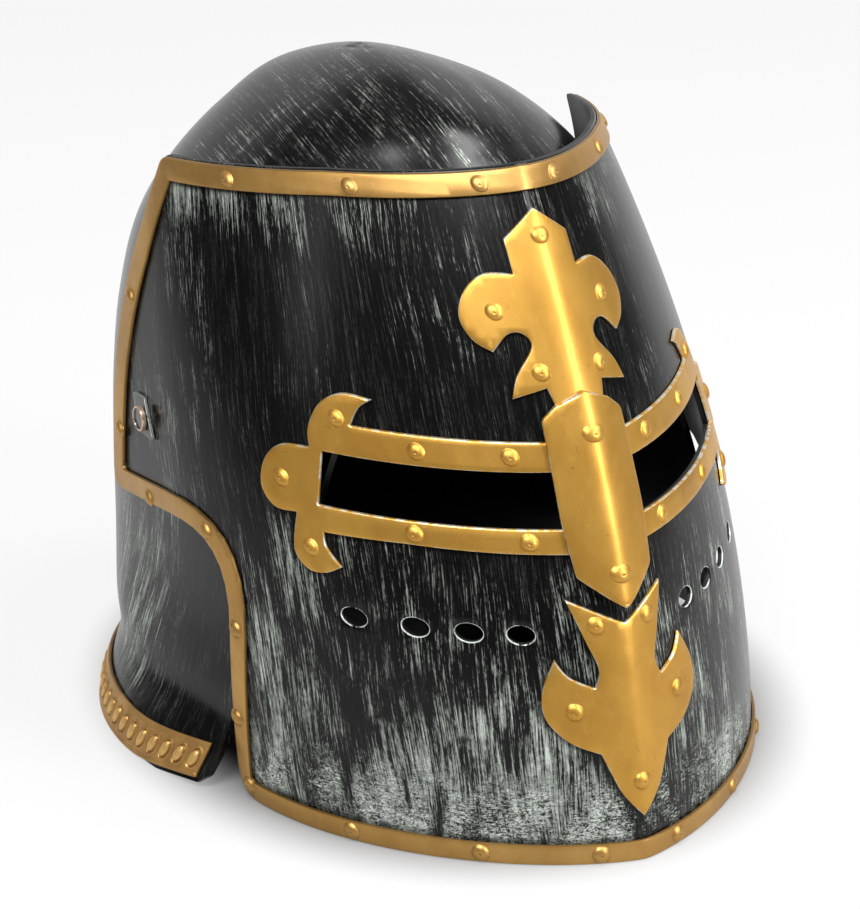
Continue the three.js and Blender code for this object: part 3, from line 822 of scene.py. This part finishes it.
def pad_cloth():
    """Black plain-weave cloth: two sets of threads, crossing, with a soft fuzz."""
    g = new_paint("pad_cloth", Specular_IOR_Level=0.25, Sheen_Weight=0.35, Sheen_Roughness=0.5)
    at = g.attribute("weave", 1)
    x, y, _ = g.split(at)
    per_mm = 2 * math.pi / THREAD_PITCH
    thread = g.times(*(g.math("SINE", g.times(v, per_mm)) for v in (x, y)))
    fuzz = g.noise(at, (1.8, 1.8), roughness=0.7)
    cloud = g.noise(at, (0.06, 0.06), detail=2.0)
    height = g.add(g.times(thread, 0.5), g.times(fuzz, 0.6))
    tone = g.add(g.times(height, 0.5), g.times(cloud, 0.6))
    color = g.mix(g.smooth(tone, 0.1, 0.8), (0.010, 0.010, 0.011), (0.048, 0.049, 0.054))
    return g.finish(color, g.smooth(fuzz, 0.3, 0.7, 0.78, 0.95), None, height, 0.00025, 0.7)


VISOR_PAINT = visor_paint()
SKULL_PAINT = skull_paint()
INNER_BLACK = lining_black()
GOLD = gold_paint("trim_gold", TRIM_TONES, worn_edge=True)
# The border's and the rivets' golds carry painted shade at their edges, and on the rivets also in the pin
# mark.
BORDER_GOLD = gold_paint("border_gold", BORDER_TONES, worn_edge=False)
RIVET_GOLD = gold_paint("rivet_gold", TRIM_TONES, worn_edge=False)
BORDER_RIVET_GOLD = gold_paint("border_rivet_gold", BORDER_TONES, worn_edge=False)
BAND_GOLD = band_gold()
PEWTER = pewter()
SMOKY_TAB = smoky_tab()
FIBRE = washer_fibre()
CLOTH = pad_cloth()

SIDES = {"left": 1, "right": -1}


# ---- The visor ----

def make_visor_shell():
    holes = []
    for side in SIDES.values():
        holes.append(on_side(slot_outline(1.0), side))
        holes += [ellipse(side * u, VENT_Z, *VENT_HALF) for u in VENTS]
        holes.append(ellipse(side * PIVOT_U, PIVOT_Z, PIN_HOLE_R, PIN_HOLE_R, 24))
    loops = [mirrored(rounded(VISOR_EDGE)), *holes]
    obj, flat = plate("visor_shell_skin", loops, -SHELL, 0, "visor", "visor",
                      [VISOR_PAINT, INNER_BLACK], cell=2.6, edge_step=1.3, round_r=0.45)
    trims = [
        *BORDER, mirrored(UPPER_FLEUR), mirrored(LOWER_FLEUR), mirrored(rounded(NOSE_EDGE)),
        on_side(EYE_FRAME, 1), on_side(EYE_FRAME, -1),
    ]
    put_values(obj, "trim", np.tile(edge_distance(flat, trims), 2))
    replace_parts(obj, "visor_shell")


def make_trims():
    wanted = {
        "visor_border": BORDER,
        "upper_fleur_plate": [mirrored(UPPER_FLEUR)],
        "lower_fleur_plate": [mirrored(LOWER_FLEUR)],
    }
    for word, side in SIDES.items():
        wanted[f"eye_frame_{word}"] = [on_side(EYE_FRAME, side), on_side(slot_outline(0), side)]
    for node, loops in wanted.items():
        paint = BORDER_GOLD if node == "visor_border" else GOLD
        obj, _ = plate(f"{node}_trim", loops, TRIM_IN, TRIM_OUT, "visor", "gold", [paint])
        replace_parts(obj, node)
    nose, _ = plate("nose_plate_trim", [mirrored(rounded(NOSE_EDGE))], NOSE_IN, nose_face,
                    "visor", "gold", [GOLD], cell=2.0, edge_step=0.8, round_r=0.6)
    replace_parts(nose, "nose_plate")


def nose_face(u):
    """How far the nose plate's face stands off the sheet: most along its crest."""
    return NOSE_OUT + NOSE_CREST * np.maximum(0, 1 - np.abs(u) / 15)


# Rivets as (u, z) on the right half. The border's belong to its solid, the others are nodes.
BORDER_RIVETS = [
    (15.5, 4), (54.5, 4), (99, 4), (147, 6), (145, 32), (135.5, 67), (143.5, 98.5), (184, 94.5),
    (201, 112), (179, 166), (114, 221.3), (65, 226.6), (17.5, 230.4),
]
FACE_RIVETS = {
    "eye_frame": [
        (81.3, 151.3), (56.7, 144), (27.7, 144), (104, 127.5), (96.5, 106), (61.3, 116.6), (26.4, 116)],
    "upper_fleur": [(23.2, 190.4), (12, 171)],
    "lower_fleur": [(9.6, 87.5), (20, 57.6)],
}
RIDGE_RIVETS = {
    "upper_fleur_rivet_top": (213.9, False), "lower_fleur_rivet_bottom": (30.6, False),
    "nose_rivet_top": (151.7, True), "nose_rivet_bottom": (105.3, True),
}
# A rivet's face from its rim to the pin mark in its middle: distance out and height.
RIVET_PROFILE = [
    (1.10, -0.25), (1.07, 0.00), (1.01, 0.06), (0.95, 0.22), (0.86, 0.48), (0.74, 0.70),
    (0.58, 0.88), (0.42, 0.98), (0.27, 1.03), (0.15, 1.04), (0.10, 0.99), (0.06, 0.86),
]


def make_rivet(name, u0, z0, seat, paint, *nodes):
    """A low domed head that follows the plate under it, so one on the ridge is creased."""
    turns = np.linspace(0, 2 * math.pi, 32, endpoint=False)
    per_u = np.linalg.norm(sheet(abs(u0) + 3.5, z0) - sheet(abs(u0) + 2.5, z0))
    per_z = np.linalg.norm(sheet(u0, z0 + 0.5) - sheet(u0, z0 - 0.5))
    rings = []
    marks = []
    for reach, height in RIVET_PROFILE:
        r = RIVET_R * reach
        u = u0 + r * np.cos(turns) / per_u
        z = z0 + r * np.sin(turns) / per_z
        rings.append(on_sheet(u, z, seat(u) + RIVET_H * height))
        # Painted shade: the gold is darkened where this falls below 0.4, round the head's base and in the
        # pin mark at its middle.
        deep = 3.0 * min(1.12 - reach, max(0.0, reach - 0.07) * 1.6)
        marks.append(np.stack([u, z, np.full(len(u), max(0.0, deep))], -1))
    obj = new_piece(name, *skin(rings), "visor", "gold", [paint], sharp=50)
    put_values(obj, "flat", np.concatenate(marks))
    if nodes:
        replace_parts(obj, *nodes)


def on_trim(u):
    """How far the trims' faces stand off the sheet."""
    return np.full(np.shape(u), TRIM_OUT)


def make_rivets():
    for i, (u, z) in enumerate(BORDER_RIVETS, start=1):
        for word, side in SIDES.items():
            make_rivet(f"border_rivet_{word}_{i}", side * u, z, on_trim, BORDER_RIVET_GOLD)
    for group, spots in FACE_RIVETS.items():
        for i, (u, z) in enumerate(spots, start=1):
            for word, side in SIDES.items():
                name = f"{group}_rivet_{word}_{i}"
                make_rivet(f"{name}_head", side * u, z, on_trim, RIVET_GOLD, name)
    for name, (z, on_nose) in RIDGE_RIVETS.items():
        make_rivet(f"{name}_head", 0.0, z, nose_face if on_nose else on_trim, RIVET_GOLD, name)


# ---- The skull ----

# The crown is brushed slantwise, from behind its right side down to the left of the brow.
CROWN_STROKES_ACROSS = np.array([0.80, -0.14, 0.59])
CROWN_STROKES_ALONG = np.array([0.43, -0.56, -0.71])
CROWN_STROKES_FROM = (186, 204)
SKULL_MIDDLE_Y = 200
SKULL_COLUMNS = 220
SKULL_ROWS = 150
NUB_AT = (0.0, 227.0)
NUB_R = 3.6
KEEL_HEIGHT = 2.4
KEEL_REACH = 34.0
KEEL_SOFTNESS = 2.2


def skull_relief(points):
    """The soft keel from the crown down over the brow, and the moulding mark behind it."""
    x, y, z = np.moveaxis(points, -1, 0)
    front = smooth(232 - y, 0, 50) * smooth(z, 150, 205)
    slope = np.maximum(0, 1 - np.hypot(x, KEEL_SOFTNESS) / KEEL_REACH)
    keel_line = KEEL_HEIGHT * slope * smooth(slope, 0, 0.35) * front
    r = np.hypot(x - NUB_AT[0], y - NUB_AT[1]) / NUB_R
    ring = 0.45 * np.exp(-((r - 1) / 0.25) ** 2) - 0.3 * np.exp(-(r / 0.6) ** 2)
    return keel_line + np.where(z > 200, ring, 0)


def make_cutter():
    """A prism over the full width: the ground below the rim, and the face opening."""
    outline = rounded([
        (-50, -50), (400, -50), (400, 0), (GUARD_FRONT + 5, 0), (GUARD_FRONT, 5, 2),
        (GUARD_FRONT, 34, 4), (106, 60, 30), (104, 120, 60), (112, BROW_Z, 22), (-50, BROW_Z),
    ])
    points, faces = skin([[(x, y, z) for y, z in outline] for x in (-160, 160)])
    mesh = bpy.data.meshes.new("cutter")
    mesh.from_pydata(row_frame(points).tolist(), [], faces)
    obj = placed("cutter", mesh)
    outward(obj)
    return obj


def cut_away(obj, cutter):
    """Subtracts the cutter from the piece for good."""
    cut = obj.modifiers.new("cut", "BOOLEAN")
    cut.object = cutter
    cut.solver = "EXACT"
    apply_modifiers(obj)
    bpy.data.objects.remove(cutter)


def make_skull():
    rows = np.concatenate([np.linspace(0, 9, 90), np.linspace(9, CROWN, SKULL_ROWS - 89)[1:]])
    angles = np.linspace(0, 2 * math.pi, SKULL_COLUMNS, endpoint=False) + 1e-3
    row, angle = np.meshgrid(rows, angles, indexing="ij")
    base = skull(row, angle)
    outer = on_skull(row, angle, skull_relief(base))
    inner = on_skull(row, angle, np.full(row.shape, -SHELL))
    for wall, t in ((outer, 0.0), (inner, -SHELL)):
        wall[-1] = skull(CROWN, 0.0) + np.array([0, 0, t])
    points, faces = closed_grid(outer, inner, wrap=True, last=False)
    obj = new_piece("skull_shell_skin", points, faces, "skull", "skull", [SKULL_PAINT, INNER_BLACK])
    welded(obj)
    outward(obj)
    cut_away(obj, make_cutter())
    mesh = obj.data
    mesh.shade_smooth()
    mesh.set_sharp_from_angle(angle=math.radians(35))
    p = vectors(mesh.vertices, "co") * 1000 - SHIFT
    x, y, z = p.T
    turn = np.arctan2(x, y - SKULL_MIDDLE_Y)
    put_values(obj, "flat", np.stack([turn * WRAP_R, z, z], -1))
    crown = smooth(z + 0.12 * (y - SKULL_MIDDLE_Y), *CROWN_STROKES_FROM)
    strokes_at = [p @ CROWN_STROKES_ACROSS, p @ CROWN_STROKES_ALONG, crown]
    put_values(obj, "dome", np.stack(strokes_at, -1))
    from_middle = vectors(mesh.polygons, "center") - row_frame([0, 205, 110])
    inward = (from_middle * vectors(mesh.polygons, "normal")).sum(axis=1) < 0
    mesh.polygons.foreach_set("material_index", inward.astype(np.int32))
    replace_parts(obj, "skull_shell")


BOSS_PITCH = 7.6
BOSS_HALF = (3.0, 4.5)
BOSS_MIDDLE = 6.9
BOSS_FROM_END = 4.6


def band_relief(from_end, length, up, height):
    """The band's oval bosses, each with a ring round it, and its rolled lower lip."""
    run = length - 2 * BOSS_FROM_END
    pitch = run / round(run / BOSS_PITCH)
    across = (from_end - BOSS_FROM_END + pitch / 2) % pitch - pitch / 2
    r = np.hypot(across / BOSS_HALF[0], (up - BOSS_MIDDLE) / BOSS_HALF[1])
    dome = np.where(r < 0.74, 1.25 * np.sqrt(np.maximum(0, 1 - (r / 0.76) ** 2)), 0)
    groove = -0.30 * np.exp(-((r - 0.80) / 0.07) ** 2)
    ring = 0.34 * np.exp(-((r - 0.98) / 0.11) ** 2)
    lip = 0.35 * smooth(up, 1.9, 0.9) + 0.15 * smooth(up, 11.6, 12.0)
    edge = -0.5 * smooth(up, 0.5, 0.0) - 0.5 * smooth(up, height - 0.5, height)
    return np.maximum(dome, 0) + groove + ring + lip + edge


def make_neck_band():
    """The gold band round the neck guard, from one front end round the back to the other."""
    rows = np.linspace(2.4 / 16, 1, 52)
    z, _, centre, _, front, _ = np.moveaxis(section(rows), -1, 0)
    ends = math.pi - np.arccos(np.clip((centre - BAND_FRONT) / front, -1, 1))
    across = np.linspace(-1, 1, 1500)
    angle = ends[:, None] * across[None]
    row = np.broadcast_to(rows[:, None], angle.shape)
    base = skull(row, angle)
    middle = base[len(rows) // 2]
    lengths = np.linalg.norm(np.diff(middle, axis=0), axis=1)
    along = np.concatenate([[0], np.cumsum(lengths)])
    along -= along[-1] / 2
    up = np.broadcast_to((z - z[0])[:, None], angle.shape)
    height = float(z[-1] - z[0])
    run = np.broadcast_to(along[None], angle.shape)
    from_end = along[-1] - np.abs(run)
    lift = band_relief(run + along[-1], 2 * along[-1], up, height) - 0.5 * smooth(from_end, 0.5, 0.0)
    outer = on_skull(row, angle, TRIM_OUT + lift)
    inner = on_skull(row, angle, np.full(row.shape, TRIM_IN))
    for wall in (outer, inner):
        wall[..., 2] = np.maximum(wall[..., 2], TRIM_SETBACK)
    points, faces = closed_grid(outer, inner)
    obj = new_piece("neck_band_trim", points, faces, "skull", "gold", [BAND_GOLD], sharp=60)
    outward(obj)
    marks = np.stack([run, up, lift], -1).reshape(-1, 3)
    put_values(obj, "flat", np.concatenate([marks, marks]))
    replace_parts(obj, "neck_band")


# ---- Pivots ----

def wall_at_pivot():
    """How far out the skull's outer face is at the pivot's height."""
    rows = np.linspace(5, 8, 3001)
    row = rows[np.argmin(np.abs(section(rows)[:, 0] - PIVOT_Z))]
    return float(on_skull(np.array(row), np.array(math.pi / 2), np.array(0.0))[0])


def lathe(name, profile, side, slot, material):
    """A round piece on the pivot's axis, from (radius, distance from the middle) points."""
    turns = np.linspace(0, 2 * math.pi, 48, endpoint=False)
    closed = profile[0] == profile[-1]
    profile = profile[:-1] if closed else profile
    rings = []
    for r, x in profile:
        level = np.full(len(turns), side * x)
        rings.append(np.stack([level, PIVOT_Y + r * np.cos(turns), PIVOT_Z + r * np.sin(turns)], -1))
    obj = new_piece(name, *skin(rings, closed), "skull", slot, [material], sharp=30)
    outward(obj)
    put_values(obj, "reach", np.repeat([r for r, _ in profile], len(turns)))
    return obj


def make_pivots():
    wall = wall_at_pivot()
    face = PIVOT_X + NOSE_IN + 0.6
    for word, side in SIDES.items():
        pin = [
            (2.3, wall - SHELL - 5), (2.5, wall - SHELL - 4.8), (2.5, face), (4.9, face), (5.0, face + 0.15),
            (5.0, face + 1.2), (4.9, face + 1.55), (4.7, face + 1.72), (4.45, face + 1.74),
            (4.25, face + 1.60), (4.1, face + 1.25), (3.9, face + 1.05), (3.0, face + 1.12),
            (2.0, face + 1.2), (0.8, face + 1.24),
        ]
        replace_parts(lathe(f"pivot_pin_{word}_screw", pin, side, "pewter", PEWTER), f"pivot_pin_{word}")
        rings = {
            "washer": (wall + 0.8, PIVOT_X - SHELL - 1, "fibre", FIBRE),
            "clip": (wall - SHELL - 3, wall - SHELL - 1.2, "pewter", PEWTER),
        }
        for kind, (x0, x1, slot, material) in rings.items():
            ring = [(2.8, x0), (5.7, x0), (6, x0 + 0.25), (6, x1 - 0.25), (5.7, x1), (2.8, x1), (2.8, x0)]
            obj = lathe(f"pivot_{kind}_{word}_ring", ring, side, slot, material)
            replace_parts(obj, f"pivot_{kind}_{word}")
        corners = [
            (PIVOT_U - 4.5, PIVOT_Z - 6.5, 1), (PIVOT_U + 7, PIVOT_Z - 6.5, 2),
            (PIVOT_U + 7, PIVOT_Z + 6.5, 2), (PIVOT_U - 1.5, PIVOT_Z + 7.5, 1),
        ]
        loops = [on_side(rounded(corners, closed=True), side),
                 ellipse(side * PIVOT_U, PIVOT_Z, PIN_HOLE_R, PIN_HOLE_R, 32)]
        obj, _ = plate(f"pivot_plate_{word}_trim", loops, TRIM_IN, TRIM_OUT, "visor", "gold", [SMOKY_TAB],
                       cell=1.4, edge_step=0.6, round_r=0.4)
        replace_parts(obj, f"pivot_plate_{word}")


# ---- Liner pads ----

PAD_GAP = 1.6
PAD_THICK = 9.0
PAD_SPANS = {
    "rear_pad": (5.2, 7.6, -0.75, 0.75, PAD_THICK),
    "side_pad_left": (5.9, 8.1, 1.0, 1.42, 8.0),
    "side_pad_right": (5.9, 8.1, -1.42, -1.0, 8.0),
    "brow_pad": (8.45, 9.5, math.pi - 0.7, math.pi + 0.7, 8.0),
}
PAD_VOXEL = 0.004
PUFF_PRESSURE = 4.0
PUFF_FRAMES = 20
PUFF_CAP = 0.0022


def pad_grids(row0, row1, angle0, angle1, thick, columns=44, rows=26):
    """A pad's face and back, rounded off to its seam all round."""
    y, x = np.meshgrid(np.linspace(-1, 1, rows), np.linspace(-1, 1, columns), indexing="ij")
    corner = np.clip(1 - (x**6 + y**6), 0.0, 1) ** 0.5
    square = np.sqrt(np.maximum(0, 1 - 0.5 * np.minimum(x * x, y * y) ** 2))
    row = (row0 + row1) / 2 + (row1 - row0) / 2 * 0.94 * y * square
    angle = (angle0 + angle1) / 2 + (angle1 - angle0) / 2 * 0.94 * x * square
    face = on_skull(row, angle, -SHELL - PAD_GAP - thick * (0.42 + 0.46 * corner))
    back = on_skull(row, angle, -SHELL - PAD_GAP - thick * (0.34 - 0.26 * corner))
    return face, back


def crown_grids(columns=64, rows=14):
    """The crown pad as rings from its middle out, face and back."""
    radius = np.linspace(0.02, 1, rows)
    r, turn = np.meshgrid(radius, np.linspace(0, 2 * math.pi, columns, endpoint=False), indexing="ij")
    level = CROWN - 2.0 * r
    ceiling = on_skull(level, turn, np.full(r.shape, -SHELL - PAD_GAP))
    crown = skull(CROWN, 0.0)
    ceiling[0] = crown - np.array([0, 0, SHELL + PAD_GAP])
    full = np.clip(1 - r**6, 0, 1) ** 0.5
    down = np.zeros(ceiling.shape)
    down[..., 2] = -1
    face = ceiling + down * (PAD_THICK * (0.42 + 0.46 * full))[..., None]
    back = ceiling + down * (PAD_THICK * (0.34 - 0.26 * full))[..., None]
    return face, back


def evened(obj):
    """Gives the pad an even mesh, ready to be blown up."""
    tool = obj.modifiers.new("even", "REMESH")
    tool.mode = "VOXEL"
    tool.voxel_size = PAD_VOXEL
    apply_modifiers(obj)


def puffed(obj):
    """Blows the pad up a little as cloth, so it swells between its seams."""
    start = vectors(obj.data.vertices, "co")
    cloth = obj.modifiers.new("puff", "CLOTH")
    cloth.settings.use_pressure = True
    cloth.settings.uniform_pressure_force = PUFF_PRESSURE
    cloth.settings.effector_weights.gravity = 0
    cloth.settings.quality = 4
    cloth.collision_settings.use_collision = False
    cloth.point_cache.frame_start = 1
    cloth.point_cache.frame_end = PUFF_FRAMES
    scene = bpy.context.scene
    for number in range(1, PUFF_FRAMES + 1):
        scene.frame_set(number)
    view = bpy.context.evaluated_depsgraph_get()
    moved = vectors(obj.evaluated_get(view).data.vertices, "co") - start
    obj.modifiers.remove(cloth)
    scene.frame_set(1)
    reach = np.linalg.norm(moved, axis=1, keepdims=True)
    moved *= np.minimum(1, PUFF_CAP / np.maximum(reach, 1e-9))
    obj.data.vertices.foreach_set("co", (start + moved).ravel())
    obj.data.update()


def sewn(obj, grids):
    """Presses stitched channels into the pad and stores the cloth's weave coordinates."""
    mesh = obj.data
    p = vectors(mesh.vertices, "co") * 1000 - SHIFT
    face = np.concatenate([grids[0].reshape(-1, 3), grids[1].reshape(-1, 3)])
    middle = face.mean(axis=0)
    _, _, axes = np.linalg.svd(face - middle, full_matrices=False)
    local = (p - middle) @ axes.T
    normals = vectors(mesh.vertices, "normal")
    groove = 0.9 * np.exp(-((local[:, 1] / 0.9) ** 2))
    size = np.abs(local).max(axis=0)
    groove *= smooth(size[0] - np.abs(local[:, 0]), 4, 10)
    mesh.vertices.foreach_set("co", (row_frame(p) - normals * groove[:, None] / 1000).ravel())
    mesh.update()
    put_values(obj, "weave", local)


def make_pad(node, grids, wrap):
    points, faces = closed_grid(*grids, wrap=wrap, first=not wrap)
    obj = new_piece(f"{node}_cushion", points, faces, "skull", "foam", [CLOTH])
    if wrap:
        welded(obj)
        edit(obj, lambda bm: bmesh.ops.holes_fill(bm, edges=bm.edges[:], sides=200))
    outward(obj)
    evened(obj)
    puffed(obj)
    sub = obj.modifiers.new("fine", "SUBSURF")
    sub.levels = 1
    sub.render_levels = 1
    apply_modifiers(obj)
    sewn(obj, grids)
    obj.data.shade_smooth()
    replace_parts(obj, node)


def make_pads():
    for node, span in PAD_SPANS.items():
        make_pad(node, pad_grids(*span), wrap=False)
    make_pad("crown_pad", crown_grids(), wrap=True)


# ---- Studio ----

CAMERA_AT = np.array([-520.07, -833.20, 563.94])
CAMERA_AZ, CAMERA_EL, CAMERA_ROLL = map(math.radians, (-27.459, 22.461, -0.398))
FOCAL_MM = 122.77


def make_camera():
    forward = np.array([
        -math.sin(CAMERA_AZ) * math.cos(CAMERA_EL), math.cos(CAMERA_AZ) * math.cos(CAMERA_EL),
        -math.sin(CAMERA_EL),
    ])
    level = np.array([math.cos(CAMERA_AZ), math.sin(CAMERA_AZ), 0.0])
    up = np.cross(level, forward)
    right = math.cos(CAMERA_ROLL) * level + math.sin(CAMERA_ROLL) * up
    up = np.cross(right, forward)
    data = bpy.data.cameras.new("photo_view")
    data.lens = FOCAL_MM
    data.sensor_width = 36.0
    data.clip_end = 60.0
    camera = placed("photo_view", data)
    columns = np.stack([right, up, -forward, row_frame(CAMERA_AT)], -1)
    camera.matrix_world = Matrix([*columns.tolist(), [0, 0, 0, 1]])
    bpy.context.scene.camera = camera


def softbox(name, azimuth, elevation, distance, size, power):
    """A rectangular light at a bearing from the helm (0 ahead of its face, 90 to its left)."""
    a, e = math.radians(azimuth), math.radians(elevation)
    away = Vector((math.sin(a) * math.cos(e), -math.cos(a) * math.cos(e), math.sin(e)))
    data = bpy.data.lights.new(name, "AREA")
    data.shape = "RECTANGLE"
    data.size, data.size_y = size
    data.energy = power
    light = placed(name, data)
    light.location = Vector((0, 0, 0.12)) + away * distance
    light.rotation_euler = away.to_track_quat("Z", "Y").to_euler()


def make_lights():
    softbox("overhead_softbox", 70, 58, 2.0, (0.60, 1.2), 32)
    softbox("high_left_key", -52, 62, 2.1, (1.0, 0.8), 58)
    softbox("front_right_key", 30, 30, 2.1, (0.6, 1.2), 40)
    softbox("left_strip", -90, 30, 2.4, (0.22, 1.1), 3.0)


# The white backdrop's middle bearing, how far it reaches to each side (as cosines of the angle
# from its middle) and the height it fades out at (as sines of the elevation).
BACKDROP_BEARING = math.radians(160)
BACKDROP_SPREAD = (0.52, 0.72)
BACKDROP_TOP = (0.70, 0.60)
BACKDROP_STRENGTH = 0.80
AMBIENT = 0.06
# The floor's radius, its glow, and the half sizes of the oval under the helm where the glow fades out, a
# painted contact shadow, in metres.
FLOOR_RADIUS = 9.0
LIT_FLOOR = 0.80
PAINTED_SHADOW_OVAL = (0.130, 0.158)


def make_world():
    """Dark all round and overhead, with a white backdrop standing behind the helm."""
    world = bpy.data.worlds.new("studio")
    g = Graph(world, "Background")
    x, y, z = g.split(g.node("ShaderNodeTexCoord"))
    across = g.times(x, math.sin(BACKDROP_BEARING))
    toward = g.math("SUBTRACT", across, g.times(y, math.cos(BACKDROP_BEARING)))
    level = g.math("SQRT", g.add(g.times(x, x), g.times(y, y)))
    facing = g.smooth(g.math("DIVIDE", toward, level), *BACKDROP_SPREAD)
    white = g.times(facing, g.smooth(z, *BACKDROP_TOP))
    g.feed(Color=(1, 1, 1, 1), Strength=g.add(g.times(white, BACKDROP_STRENGTH), AMBIENT))
    bpy.context.scene.world = world


def make_floor():
    """A white floor that glows evenly like a light table, with the glow fading out in an oval under the helm
    as a painted contact shadow, so it stands on an even white ground.
    """
    mesh = bpy.data.meshes.new("floor")
    obj = placed("floor", mesh)
    edit(obj, lambda bm: bmesh.ops.create_circle(bm, cap_ends=True, segments=96, radius=FLOOR_RADIUS))
    g = new_paint("pale_floor", Specular_IOR_Level=0.1, Roughness=0.9)
    at = g.node("ShaderNodeTexCoord", out=OBJECT_SPACE)
    cloud = g.noise(at, (1.5, 1.5, 1.5), detail=2.0)
    from_middle = zip(g.split(at), PAINTED_SHADOW_OVAL)
    reach = g.add(*(g.math("POWER", g.math("DIVIDE", d, half), 2.0) for d, half in from_middle))
    # Painted contact shadow: the glow fades to nothing in the oval under the helm.
    glow_with_painted_shadow = g.smooth(reach, 0.55, 1.25, 0.0, LIT_FLOOR)
    g.feed(Emission_Color=(1, 1, 1, 1), Emission_Strength=glow_with_painted_shadow)
    mesh.materials.append(g.finish(g.mix(cloud, (0.09, 0.09, 0.09), (0.10, 0.10, 0.10))))


bpy.context.scene.view_settings.view_transform = "Standard"
make_camera()
make_visor_shell()
make_trims()
make_rivets()
make_skull()
make_neck_band()
make_pivots()
make_pads()
make_world()
make_lights()
make_floor()
